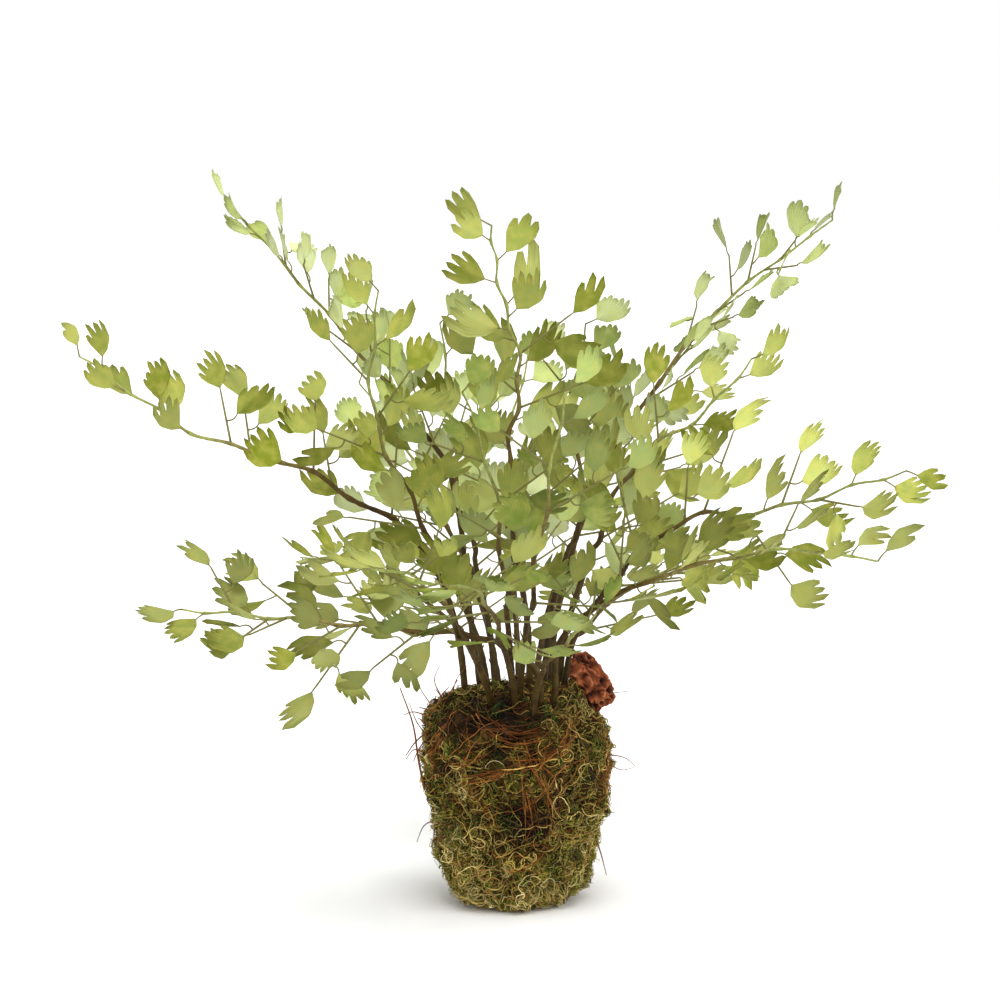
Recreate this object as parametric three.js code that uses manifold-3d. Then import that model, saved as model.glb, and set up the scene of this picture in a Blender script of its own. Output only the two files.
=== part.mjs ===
// A maidenhair fern growing out of a moss-covered root ball that stands on its own flat base.
// Millimetres, +Z up. The origin is the centre of the flat base; -Y is the plant's front.
import * as THREE from "three";
import { mergeVertices } from "three/addons/utils/BufferGeometryUtils.js";
import Module from "manifold-3d";

const wasm = await Module();
wasm.setup();
const { Manifold, Mesh: ManifoldMesh } = wasm;

// ---- Driving dimensions, mm and radians ----
const GAP = 0.3; // air between pieces that touch
const BALL = {
  // Radius and height up the side, from the middle of the base to the middle of the top.
  profile: [
    [0, 0], [18, 0], [23.5, 2.5], [27.5, 7], [31, 15], [33, 30],
    [35.5, 43], [37.5, 55], [37.5, 69], [34, 78], [25, 85], [0, 88],
  ],
  sides: 24,
  // Waves round the ball: how many, how they climb in mm per radian, their phase, their share of the radius.
  waves: [[1, 12.7, 4.32, 0.03], [3, 13, 0.4, 0.014], [5, -9, 2.1, 0.018], [8, 6, 4.4, 0.014]],
};
const BARK = { size: [11.5, 10, 24], centre: [29, 0, 90.5], lean: -0.6, rough: 0.14, clear: 2.6, seed: 41 };
// seat and top: the heights where a stem's hole ends and where it leaves the ball. base and neck: its radii.
const STALK = { seat: 68, top: 88, gather: 0.88, base: 1.55, neck: 1.1, sides: 5, step: 22 };
// The green stem above the stalk. zigzag: how far its knots stand off, low and high.
// below: how much green stem there is under the first spray.
const RACHIS = { tip: 0.6, sides: 4, zigzag: [1.4, 0.7], crowding: 1.2, below: 6 };
// pace: from leaflet to leaflet, a share of their length. open: a spray's angle to its stem, low and high on it.
const SPRAY = { width: 0.9, root: 0.5, sink: 0.2, pace: 0.7, first: 0.9, side: 1.15, open: [1.1, 0.95] };
// spread: half a fan's angle. bend: how far a leaflet curves towards the tip. skew: its longer outer side.
// notch: the reach between two fingers. blunt: how much shorter the outer fingers are.
const LEAFLET = {
  thickness: 0.6, petiole: 4.8, endPetiole: 2.8,
  spread: 0.5, bend: 0.25, skew: 0.22, notch: 0.72, fingers: 3, blunt: 0.1,
};
// shrink: a leaflet's size at the base and the tip of its stem. taper: at the end of its spray.
const GROWTH = { shrink: [1, 0.84], taper: 0.88 };
const VARIES = { spray: 0.09, leaflet: 0.07, twist: 0.6, nod: 0.35, lean: 0.25, open: 0.12 }; // either way
const ROOM = { leaflet: 1.7, branch: 0.95, stem: 1.55, tip: 0.78 }; // radius kept clear round each sample point
// Sample points: rows across a leaflet (share of its length, steps), and steps along branches and stems.
const SAMPLES = { fan: [[0.3, 1], [0.62, 3], [0.95, 4]], branch: 2.5, clearOfStem: 4, stem: 2 };
const TRIES = [0, 1, -1, 2, -2, 3, -3, 4, -4]; // how a spray is turned, in order, when its place is taken
const TURN = 0.22;

// ---- The fronds ----
// root: where the stem stands in the ball's top. through: points that the stem bends through, up to its tip.
// leafy: share of the stem where the first spray grows. sprays: leaflets on each spray, from base to tip.
// face: the way the blade looks. leaf: leaflet length. lift: how far the sprays turn upwards.
const FRONDS = [
  {
    name: "crown", root: [5, -2], tone: "olive", leaf: 18.5, lift: 0, seed: 89,
    through: [[4, -2, 115], [-4, -2, 170], [1, -3, 214], [-6, -6, 244], [-9, -8, 260], [-10, -10, 272]],
    leafy: 0.42, sprays: [3, 3, 3, 2, 2, 1, 2, 1, 1, 1, 1, 1], face: [0.1, -1, 0.1],
  },
  {
    name: "left_long", root: [-21, -4], tone: "olive", leaf: 15.5, lift: 0.9, seed: 97,
    through: [[-26, -10, 120], [-42, -18, 150], [-85, -26, 178], [-125, -30, 192], [-169, -34, 222]],
    leafy: 0.42, sprays: [3, 3, 3, 3, 2, 2, 1, 1, 1], face: [-0.2, -1, 0.25],
  },
  {
    name: "right_long", root: [19, -6], tone: "olive", leaf: 15.5, lift: 0.3, seed: 49,
    through: [[26, -17, 116], [60, -39, 157], [96, -50, 164], [147, -58, 180]],
    leafy: 0.36, sprays: [3, 3, 3, 3, 3, 2, 2, 1, 1], face: [0.1, -1, 0.5],
  },
  {
    name: "left_upright", root: [-12, -8], tone: "olive", leaf: 16, lift: 0.2, seed: 79,
    through: [[-17, -12, 112], [-36, -24, 155], [-56, -28, 200], [-54, -24, 247]],
    leafy: 0.4, sprays: [3, 3, 3, 3, 2, 2, 1, 1], face: [-0.15, -1, 0.2],
  },
  {
    name: "upper_right", root: [14, 15], tone: "pale", leaf: 13.5, lift: 0.45, seed: 94,
    through: [[18, 30, 118], [36, 44, 170], [80, 52, 233], [130, 44, 274]],
    leafy: 0.45, sprays: [3, 3, 3, 3, 2, 2, 2, 1], face: [-0.75, -0.25, 0.6],
  },
  {
    name: "upper_left", root: [-15, 8], tone: "pale", leaf: 13.5, lift: 0.55, seed: 97,
    through: [[-20, 18, 120], [-28, 28, 172], [-60, 32, 215], [-116, 24, 281]],
    leafy: 0.44, sprays: [3, 3, 3, 2, 2, 2, 1, 1], face: [0.5, -0.5, 0.7],
  },
  {
    name: "left_low", root: [9, -20], tone: "olive", leaf: 15.5, lift: 0.25, seed: 30,
    through: [[6, -30, 100], [-12, -48, 114], [-75, -68, 124], [-126, -72, 129]],
    leafy: 0.43, sprays: [2, 3, 3, 3, 3, 2, 2, 1], face: [-0.1, -0.8, 0.75],
  },
  {
    name: "right_low", root: [15, -16], tone: "olive", leaf: 15.5, lift: 0.35, seed: 79,
    through: [[18, -28, 112], [45, -51, 135], [95, -70, 151], [134, -78, 148]],
    leafy: 0.34, sprays: [3, 3, 3, 3, 2, 2, 1, 1], face: [0.1, -0.5, 1],
  },
  {
    name: "right_upper", root: [17, 2], tone: "olive", leaf: 15.5, lift: 0.4, seed: 11,
    through: [[22, 1, 118], [44, -6, 174], [74, -12, 199], [92, -14, 220]],
    leafy: 0.46, sprays: [3, 3, 2, 2, 1, 1, 1], face: [0.1, -1, 0.15],
  },
  {
    name: "centre", root: [-2, -12], tone: "fresh", leaf: 16.5, lift: 0.1, seed: 106,
    through: [[-4, -26, 120], [-9, -48, 172], [-21, -60, 210]],
    leafy: 0.42, sprays: [3, 3, 3, 2, 1], face: [-0.1, -1, 0.55],
  },
  {
    name: "front_right", root: [1, -19], tone: "fresh", leaf: 17, lift: 0.1, seed: 72,
    through: [[4, -42, 122], [11, -70, 172], [17, -86, 212]],
    leafy: 0.42, sprays: [3, 3, 3, 2, 1], face: [0.15, -1, 0.6],
  },
  {
    name: "left_back", root: [-9, 11], tone: "pale", leaf: 15.5, lift: 0.1, seed: 54,
    through: [[-12, 24, 112], [-24, 46, 165], [-32, 60, 231]],
    leafy: 0.45, sprays: [3, 3, 3, 2, 1], face: [-0.1, -1, 0.35],
  },
  {
    name: "right_pale", root: [11, 8], tone: "pale", leaf: 15.5, lift: 0.1, seed: 45,
    through: [[15, 16, 120], [28, 22, 166], [22, 25, 190], [28, 28, 232]],
    leafy: 0.48, sprays: [3, 3, 3, 2, 1], face: [0.1, -1, 0.2],
  },
  {
    name: "front_low", root: [-1, -25], tone: "fresh", leaf: 16, lift: 0, seed: 19,
    through: [[-6, -58, 114], [-14, -106, 140], [-25, -138, 147]],
    leafy: 0.42, sprays: [2, 2, 2, 1, 1], face: [0, -0.3, 1],
  },
  {
    name: "right_small", root: [7, -29], tone: "fresh", leaf: 14.5, lift: 0.05, seed: 59,
    through: [[12, -48, 105], [29, -82, 129]],
    leafy: 0.5, sprays: [1, 1, 1, 1], face: [0.2, -0.5, 1],
  },
  {
    name: "front_left", root: [-11, -23], tone: "olive", leaf: 16, lift: 0.05, seed: 29,
    through: [[-21, -60, 117], [-36, -108, 145], [-52, -146, 154]],
    leafy: 0.42, sprays: [3, 3, 2, 2, 1], face: [-0.2, -0.3, 1],
  },
  {
    name: "back_left", root: [-8, 21], tone: "pale", leaf: 16.5, lift: 0.1, seed: 26,
    through: [[-16, 58, 116], [-40, 110, 162], [-70, 138, 201]],
    leafy: 0.42, sprays: [3, 3, 3, 2, 1], face: [0.2, -0.7, 0.8],
  },
  {
    name: "back_mid", root: [1, 23], tone: "pale", leaf: 16.5, lift: 0.1, seed: 27,
    through: [[-1, 60, 123], [-3, 100, 174], [6, 118, 218]],
    leafy: 0.4, sprays: [3, 3, 3, 2, 1], face: [0, -0.8, 0.7],
  },
  {
    name: "back_right", root: [8, 23], tone: "olive", leaf: 16.5, lift: 0.1, seed: 28,
    through: [[18, 66, 122], [44, 116, 165], [79, 142, 197]],
    leafy: 0.4, sprays: [3, 3, 3, 2, 1], face: [-0.2, -0.7, 0.8],
  },
  {
    name: "back_low_left", root: [-13, 25], tone: "olive", leaf: 16, lift: 0.1, seed: 29,
    through: [[-26, 68, 101], [-58, 120, 119], [-98, 156, 120]],
    leafy: 0.36, sprays: [3, 3, 3, 2, 1], face: [-0.2, 0.3, 1],
  },
  {
    name: "back_low_right", root: [13, 27], tone: "olive", leaf: 16, lift: 0.1, seed: 30,
    through: [[28, 68, 100], [62, 118, 117], [105, 150, 121]],
    leafy: 0.36, sprays: [3, 3, 3, 2, 1], face: [0.2, 0.3, 1],
  },
];

const MATERIALS = {
  moss: new THREE.MeshStandardMaterial({ color: 0x4d4a1c, roughness: 1, metalness: 0 }),
  bark: new THREE.MeshStandardMaterial({ color: 0x8a3d1e, roughness: 0.95, metalness: 0 }),
  stalk: new THREE.MeshStandardMaterial({ color: 0x3a2a1c, roughness: 0.6, metalness: 0 }),
  olive: new THREE.MeshStandardMaterial({ color: 0x8a9a35, roughness: 0.6, metalness: 0 }),
  fresh: new THREE.MeshStandardMaterial({ color: 0x7fa045, roughness: 0.6, metalness: 0 }),
  pale: new THREE.MeshStandardMaterial({ color: 0xa5bf7a, roughness: 0.65, metalness: 0 }),
};

const fern = new THREE.Group();

// ---- Helpers ----
const vector = (a) => new THREE.Vector3(...a);
const mix = (a, b, t) => a + (b - a) * t;
const wobble = (draw, reach) => (draw() * 2 - 1) * reach;
const turnAbout = (axis, angle) => new THREE.Quaternion().setFromAxisAngle(axis, angle);

// A repeatable draw from 0 to 1.
function draws(seed) {
  let state = seed * 7919;
  return () => {
    state = (state * 1664525 + 1013904223) % 4294967296;
    return state / 4294967296;
  };
}

// The part of v at right angles to the unit vector t, made a unit vector.
function across(v, t) {
  return v.clone().addScaledVector(t, -v.dot(t)).normalize();
}

// A closed geometry as a solid: vertices merged, faces without area dropped.
function solidOf(geometry) {
  const bare = geometry.clone();
  bare.deleteAttribute("normal");
  bare.deleteAttribute("uv");
  const merged = mergeVertices(bare, 1e-3);
  const corners = merged.index.array;
  const kept = [];
  for (let i = 0; i < corners.length; i += 3) {
    const [a, b, c] = corners.slice(i, i + 3);
    if (a !== b && b !== c && a !== c) kept.push(a, b, c);
  }
  const vertProperties = merged.attributes.position.array;
  const mesh = new ManifoldMesh({ numProp: 3, vertProperties, triVerts: new Uint32Array(kept) });
  return new Manifold(mesh);
}

// A solid as a mesh in the group. Scraps that don't hold on to the largest body are dropped.
function addMesh(name, solid, material) {
  const [body] = solid.decompose().sort((a, b) => b.volume() - a.volume());
  const { vertProperties, triVerts } = body.getMesh();
  const geometry = new THREE.BufferGeometry();
  geometry.setAttribute("position", new THREE.BufferAttribute(vertProperties, 3));
  geometry.setIndex(new THREE.BufferAttribute(triVerts, 1));
  geometry.computeVertexNormals();
  const mesh = new THREE.Mesh(geometry, material);
  mesh.name = name;
  fern.add(mesh);
}

// A rod through points, its radius running from one value to another: a cylinder's rings carried along the line.
function rod(points, radiusFrom, radiusTo, sides) {
  const steps = points.length - 1;
  const geometry = new THREE.CylinderGeometry(1, 1, steps, sides, steps);
  const rings = [];
  let side = new THREE.Vector3(0.31, -0.9, 0.29);
  points.forEach((point, i) => {
    const along = points[Math.min(i + 1, steps)].clone().sub(points[Math.max(i - 1, 0)]).normalize();
    side = across(side, along);
    rings.push({ point, side, other: side.clone().cross(along), radius: mix(radiusFrom, radiusTo, i / steps) });
  });
  const place = geometry.attributes.position;
  for (let i = 0; i < place.count; i++) {
    const ring = rings[Math.round(place.getY(i) + steps / 2)];
    const spot = ring.point.clone();
    spot.addScaledVector(ring.side, place.getX(i) * ring.radius);
    spot.addScaledVector(ring.other, place.getZ(i) * ring.radius);
    place.setXYZ(i, spot.x, spot.y, spot.z);
  }
  return solidOf(geometry);
}

// ---- Growth: where stems and sprays go ----
// Balls of room round everything that already stands, so that nothing grows through anything else.
const crowd = [];

function isFree(balls) {
  return balls.every((ball) => crowd.every((other) => {
    const apart = ball.radius + other.radius;
    return ball.point.distanceToSquared(other.point) > apart * apart;
  }));
}

// A frond's stem: a smooth curve, and the knots where its sprays grow, set off to alternate sides.
function stemOf(plan) {
  const [x, y] = plan.root;
  const points = [[x * STALK.gather, y * STALK.gather, STALK.seat], [x, y, STALK.top], ...plan.through];
  const curve = new THREE.CatmullRomCurve3(points.map(vector), false, "catmullrom", 0.5);
  const length = curve.getLength();
  const count = plan.sprays.length;
  const knots = plan.sprays.map((leaflets, i) => {
    const progress = i / count;
    const share = 1 - (1 - plan.leafy) * (1 - progress) ** RACHIS.crowding;
    const along = curve.getTangentAt(share).normalize();
    const face = across(vector(plan.face), along);
    const hand = i % 2 ? 1 : -1;
    const side = face.clone().cross(along).multiplyScalar(hand);
    const point = curve.getPointAt(share).addScaledVector(side, mix(...RACHIS.zigzag, progress));
    return { leaflets, progress, point, along, face, side, hand };
  });
  return { curve, length, knots, split: plan.leafy - RACHIS.below / length };
}

// A spray drawn flat, growing along +Y: its leaflets stand alternately right and left, and one ends it.
function drawSpray(plan, knot, count, draw) {
  const size = plan.leaf * mix(...GROWTH.shrink, knot.progress) * (1 + wobble(draw, VARIES.spray));
  const pace = size * SPRAY.pace;
  const first = count > 1 ? pace * SPRAY.first : 0;
  const leaflets = [];
  for (let j = 0; j < count; j++) {
    const last = j === count - 1;
    const hand = last ? 0 : 1 - 2 * (j % 2);
    leaflets.push({
      hand,
      curve: hand || -knot.hand,
      base: new THREE.Vector3(0, first + pace * j, 0),
      angle: hand * SPRAY.side,
      size: size * mix(1, GROWTH.taper, j / count) * (1 + wobble(draw, VARIES.leaflet)),
      petiole: last && count > 1 ? LEAFLET.endPetiole : LEAFLET.petiole,
      twist: wobble(draw, VARIES.twist),
      nod: wobble(draw, VARIES.nod),
    });
  }
  const lean = wobble(draw, VARIES.lean);
  const open = mix(...SPRAY.open, knot.progress) + wobble(draw, VARIES.open);
  return { leaflets, lean, open };
}

// Where a point of a leaflet goes: the leaflet is twisted about its petiole and nods at its base.
function turnLeaflet(leaflet, point) {
  const axis = new THREE.Vector3(Math.sin(leaflet.angle), Math.cos(leaflet.angle), 0);
  const cross = new THREE.Vector3(axis.y, -axis.x, 0);
  const turned = point.clone().sub(leaflet.base).applyQuaternion(turnAbout(axis, leaflet.twist));
  return turned.applyQuaternion(turnAbout(cross, leaflet.nod)).add(leaflet.base);
}

// A point of a leaflet's fan in the flat drawing: across it from -1 to 1, and up it as a share of its length.
function fanPoint(leaflet, aside, up) {
  const angle = leaflet.angle + aside * LEAFLET.spread - leaflet.curve * LEAFLET.bend * up;
  const reach = leaflet.size * up * (1 + leaflet.curve * LEAFLET.skew * aside);
  const point = leaflet.base.clone();
  point.x += Math.sin(leaflet.angle) * leaflet.petiole + Math.sin(angle) * reach;
  point.y += Math.cos(leaflet.angle) * leaflet.petiole + Math.cos(angle) * reach;
  return point;
}

// The spray's place on its stem, turned about the stem by some tries.
function placeSpray(plan, knot, spray, tries) {
  const way = knot.along.clone().multiplyScalar(Math.cos(spray.open));
  way.addScaledVector(knot.side, Math.sin(spray.open));
  way.z += plan.lift;
  way.normalize().applyQuaternion(turnAbout(knot.along, spray.lean + tries * TURN));
  const normal = across(knot.face, way);
  const matrix = new THREE.Matrix4().makeBasis(way.clone().cross(normal), way, normal);
  return matrix.setPosition(knot.point);
}

function ballsOf(spray, matrix) {
  const balls = [];
  const keep = (point, radius) => balls.push({ point: point.applyMatrix4(matrix), radius });
  for (let y = SAMPLES.clearOfStem; y < spray.leaflets.at(-1).base.y; y += SAMPLES.branch) {
    keep(new THREE.Vector3(0, y, 0), ROOM.branch);
  }
  for (const leaflet of spray.leaflets) {
    for (const [up, steps] of SAMPLES.fan) {
      for (let i = 0; i <= steps; i++) {
        keep(turnLeaflet(leaflet, fanPoint(leaflet, mix(-1, 1, i / steps), up)), ROOM.leaflet);
      }
    }
  }
  return balls;
}

// A spray in the first free place that its tries find, whole if it can be, or else as a single leaflet.
function growSpray(plan, knot, draw) {
  for (const count of [knot.leaflets, 1]) {
    const spray = drawSpray(plan, knot, count, draw);
    for (const tries of TRIES) {
      const matrix = placeSpray(plan, knot, spray, tries);
      const balls = ballsOf(spray, matrix);
      if (isFree(balls)) {
        crowd.push(...balls);
        return { spray, matrix };
      }
    }
  }
  return null;
}

// ---- Solids ----
// The outline of a spray, anticlockwise: up the right side of its branch, round the last leaflet, down the left.
function outlineOf(spray) {
  const half = SPRAY.width / 2;
  const points = [];
  const add = (x, y, leaflet) => points.push({ x, y, leaflet });
  const addLeaflet = (leaflet, side) => {
    const level = leaflet.base.y;
    const [sin, cos] = [Math.sin(leaflet.angle), Math.cos(leaflet.angle)];
    const neck = (aside) => {
      add(cos * aside + sin * leaflet.petiole, level - sin * aside + cos * leaflet.petiole, leaflet);
    };
    if (side) add(side * half, level - half * side, null);
    neck(half);
    const rim = 2 * (LEAFLET.fingers - 1);
    for (let i = 0; i <= rim; i++) {
      const t = 1 - (2 * i) / rim;
      const tip = fanPoint(leaflet, t, i % 2 ? LEAFLET.notch : 1 - LEAFLET.blunt * Math.abs(t));
      add(tip.x, tip.y, leaflet);
    }
    neck(-half);
    if (side) add(side * half, level + half * side, null);
  };
  const last = spray.leaflets.at(-1);
  add(SPRAY.root / 2, -SPRAY.sink, null);
  spray.leaflets.filter((leaflet) => leaflet.hand > 0).forEach((leaflet) => addLeaflet(leaflet, 1));
  addLeaflet(last, 0);
  spray.leaflets.filter((leaflet) => leaflet.hand < 0).reverse().forEach((leaflet) => addLeaflet(leaflet, -1));
  add(-SPRAY.root / 2, -SPRAY.sink, null);
  return points;
}

// A spray as one thin plate, each leaflet turned on its own petiole.
function spraySolid({ spray, matrix }) {
  const outline = outlineOf(spray);
  const shape = new THREE.Shape(outline.map(({ x, y }) => new THREE.Vector2(x, y)));
  const plate = new THREE.ExtrudeGeometry(shape, { depth: LEAFLET.thickness, bevelEnabled: false });
  plate.translate(0, 0, -LEAFLET.thickness / 2);
  const place = plate.attributes.position;
  for (let i = 0; i < place.count; i++) {
    const point = new THREE.Vector3().fromBufferAttribute(place, i);
    const { leaflet } = outline.find(({ x, y }) => Math.hypot(x - point.x, y - point.y) < 1e-3);
    const spot = leaflet ? turnLeaflet(leaflet, point) : point;
    place.setXYZ(i, spot.x, spot.y, spot.z);
  }
  return solidOf(plate.applyMatrix4(matrix));
}

// The brown lower stem, down to its seat in the ball, or with a margin the hole that it stands in.
function stalkSolid(stem, margin) {
  const end = stem.split - (GAP - margin) / stem.length;
  const steps = Math.round((end * stem.length) / STALK.step);
  const points = Array.from({ length: steps + 1 }, (_, i) => stem.curve.getPointAt((end * i) / steps));
  return rod(points, STALK.base + margin, STALK.neck + margin, STALK.sides);
}

// The green part of a frond: its stem from spray to spray, and the sprays.
function bladeSolid(stem, sprays) {
  // Two points where it meets the stalk, so that its end lies square to the stalk's.
  const start = [0, 2].map((along) => stem.curve.getPointAt(stem.split + along / stem.length));
  const line = [...start, ...stem.knots.map((knot) => knot.point), stem.curve.getPointAt(1)];
  return Manifold.union([rod(line, STALK.neck, RACHIS.tip, RACHIS.sides), ...sprays.map(spraySolid)]);
}

// The root ball: its profile turned round, then swollen and sunk by waves that run round and up it.
function ballGeometry() {
  const geometry = new THREE.LatheGeometry(BALL.profile.map(([r, z]) => new THREE.Vector2(r, z)), BALL.sides);
  geometry.rotateX(Math.PI / 2);
  const place = geometry.attributes.position;
  for (let i = 0; i < place.count; i++) {
    const [x, y, z] = [place.getX(i), place.getY(i), place.getZ(i)];
    let swell = 1;
    for (const [count, climb, phase, share] of BALL.waves) {
      swell += share * Math.sin(count * Math.atan2(y, x) + z / climb + phase);
    }
    place.setXYZ(i, x * swell, y * swell, z);
  }
  return geometry;
}

// A chip of bark: a rough lump, or with a margin the pocket that it lies in.
function barkGeometry(margin) {
  const geometry = new THREE.IcosahedronGeometry(0.5, 1);
  geometry.deleteAttribute("normal");
  geometry.deleteAttribute("uv");
  const merged = mergeVertices(geometry, 1e-3);
  const draw = draws(BARK.seed);
  const place = merged.attributes.position;
  for (let i = 0; i < place.count; i++) {
    const point = new THREE.Vector3().fromBufferAttribute(place, i);
    const reach = vector(BARK.size).addScalar(margin * BARK.clear);
    point.multiply(reach).multiplyScalar(1 + wobble(draw, BARK.rough));
    place.setXYZ(i, point.x, point.y, point.z);
  }
  return merged.rotateY(BARK.lean).translate(...BARK.centre);
}

// ---- The plant ----
const stems = FRONDS.map(stemOf);
for (const stem of stems) {
  for (let along = 0; along < stem.length; along += SAMPLES.stem) {
    const share = along / stem.length;
    crowd.push({ point: stem.curve.getPointAt(share), radius: mix(ROOM.stem, ROOM.tip, share) });
  }
}
const blades = FRONDS.map((plan, i) => {
  const draw = draws(plan.seed);
  const knots = stems[i].knots;
  const end = { ...knots.at(-1), point: stems[i].curve.getPointAt(1), progress: 1, leaflets: 1 };
  return [...knots, end].map((knot) => growSpray(plan, knot, draw)).filter(Boolean);
});

const holes = stems.map((stem) => stalkSolid(stem, GAP));
const pocket = solidOf(barkGeometry(GAP));
addMesh("root_ball", solidOf(ballGeometry()).subtract(Manifold.union([...holes, pocket])), MATERIALS.moss);
addMesh("bark_chip", solidOf(barkGeometry(0)), MATERIALS.bark);
FRONDS.forEach((plan, i) => {
  addMesh(`stalk_${plan.name}`, stalkSolid(stems[i], 0), MATERIALS.stalk);
  addMesh(`frond_${plan.name}`, bladeSolid(stems[i], blades[i]), MATERIALS[plan.tone]);
});

export default fern;
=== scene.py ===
import math
import bpy
import numpy as np
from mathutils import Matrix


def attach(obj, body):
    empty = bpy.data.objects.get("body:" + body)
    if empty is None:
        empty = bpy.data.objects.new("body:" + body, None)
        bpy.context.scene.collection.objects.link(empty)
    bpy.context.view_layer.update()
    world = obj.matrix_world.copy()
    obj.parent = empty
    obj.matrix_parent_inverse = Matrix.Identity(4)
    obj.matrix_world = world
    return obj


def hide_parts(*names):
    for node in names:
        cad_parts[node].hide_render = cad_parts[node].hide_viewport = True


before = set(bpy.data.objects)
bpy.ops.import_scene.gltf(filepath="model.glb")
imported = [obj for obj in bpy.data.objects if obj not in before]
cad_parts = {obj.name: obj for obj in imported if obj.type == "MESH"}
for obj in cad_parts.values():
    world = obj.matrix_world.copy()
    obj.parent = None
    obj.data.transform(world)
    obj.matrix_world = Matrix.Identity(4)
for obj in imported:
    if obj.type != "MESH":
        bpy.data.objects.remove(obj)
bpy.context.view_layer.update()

mm = 0.001  # shapes below are worked out in millimetres
print("frame loaded:", len(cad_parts), "nodes")

# Camera, floor and lights.

cameraLook = {"target": (-0.0068, 0.0, 0.1628), "elevation": 6.0, "distance": 1.111, "lens": 100.0}


def addCamera(look):
    camera = bpy.data.objects.new("camera", bpy.data.cameras.new("camera"))
    tilt = math.radians(look["elevation"])
    x, y, z = look["target"]
    camera.location = (x, y - look["distance"] * math.cos(tilt), z + look["distance"] * math.sin(tilt))
    camera.rotation_euler = (math.pi / 2 - tilt, 0, 0)
    camera.data.lens = look["lens"]
    camera.data.sensor_width = 36.0
    bpy.context.collection.objects.link(camera)
    bpy.context.scene.camera = camera


stageLook = {
    "floorSize": 60.0,
    "floorColour": (1.0, 1.0, 1.0),
    "backdrop": 1.0,  # strength of the white that the camera sees
    "skyLight": 0.73,  # strength of the white that lights the plant
    "suns": {  # the way it shines, strength, softness in degrees
        "keySun": ((-0.15, 0.6, -1.7), 2.3, 34),
        "sideSun": ((-1.6, 0.5, -0.95), 0.6, 30),
    },
}


def addStage(look):
    half = look["floorSize"] / 2
    corners = [(-half, -half, 0), (half, -half, 0), (half, half, 0), (-half, half, 0)]
    mesh = bpy.data.meshes.new("floor")
    mesh.from_pydata(corners, [], [(0, 1, 2, 3)])
    floor = bpy.data.objects.new("floor", mesh)
    bpy.context.collection.objects.link(floor)
    paint = bpy.data.materials.new("floorPaint")
    paint.use_nodes = True
    skin = paint.node_tree.nodes["Principled BSDF"]
    skin.inputs["Base Color"].default_value = (*look["floorColour"], 1)
    skin.inputs["Roughness"].default_value = 1.0
    skin.inputs["Specular IOR Level"].default_value = 0.0
    mesh.materials.append(paint)
    world = bpy.data.worlds.new("studio")
    world.use_nodes = True
    tree = world.node_tree
    glow = tree.nodes["Background"]
    glow.inputs["Strength"].default_value = look["skyLight"]
    glow.inputs["Color"].default_value = (1, 1, 1, 1)
    seen = tree.nodes.new("ShaderNodeBackground")
    seen.inputs["Color"].default_value = (1, 1, 1, 1)
    seen.inputs["Strength"].default_value = look["backdrop"]
    blend = tree.nodes.new("ShaderNodeMixShader")
    tree.links.new(tree.nodes.new("ShaderNodeLightPath").outputs["Is Camera Ray"], blend.inputs[0])
    tree.links.new(glow.outputs[0], blend.inputs[1])
    tree.links.new(seen.outputs[0], blend.inputs[2])
    tree.links.new(blend.outputs[0], tree.nodes["World Output"].inputs["Surface"])
    bpy.context.scene.world = world
    for name, (way, strength, softness) in look["suns"].items():
        lamp = bpy.data.lights.new(name, "SUN")
        lamp.energy = strength
        lamp.angle = math.radians(softness)
        light = bpy.data.objects.new(name, lamp)
        x, y, z = way
        light.rotation_euler = (math.atan2(math.hypot(x, y), -z), 0, math.atan2(y, x) - math.pi / 2)
        light.location = (-x, -y, -z)
        bpy.context.collection.objects.link(light)
    bpy.context.scene.view_settings.view_transform = "Standard"


addCamera(cameraLook)
addStage(stageLook)
print("camera, floor and lights placed")

# Small helpers.


def mix(a, b, t):
    return a + (b - a) * t


def unit(v):
    return v / np.linalg.norm(v, axis=-1, keepdims=True)


def across(v, along):  # the part of v at right angles to the unit vector along
    return unit(v - along * np.dot(v, along))


def turnAbout(axis, angle):  # rotation matrix: cos I + sin [axis]x + (1 - cos) axis axisT
    x, y, z = axis
    skew = np.array([[0, -z, y], [z, 0, -x], [-y, x, 0]])
    return math.cos(angle) * np.eye(3) + math.sin(angle) * skew + (1 - math.cos(angle)) * np.outer(axis, axis)


def drawsFrom(seed):
    state = seed * 7919

    def draw():
        nonlocal state
        state = (state * 1664525 + 1013904223) % 4294967296
        return state / 4294967296

    return draw


def wobble(draw, reach):
    return (draw() * 2 - 1) * reach


def ripples(points, wavelength, seed, count=20):  # sum of sine waves in random directions, about -1 to 1
    rng = np.random.default_rng(seed)
    waves = unit(rng.normal(size=(count, 3))) * (2 * math.pi / wavelength) * rng.uniform(0.7, 1.4, (count, 1))
    phases = rng.uniform(0, 2 * math.pi, count)
    flat = points.reshape(-1, 3)
    total = np.sin(flat @ waves.T + phases).sum(axis=1) * math.sqrt(2 / count) * 0.6
    return total.reshape(points.shape[:-1])


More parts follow.
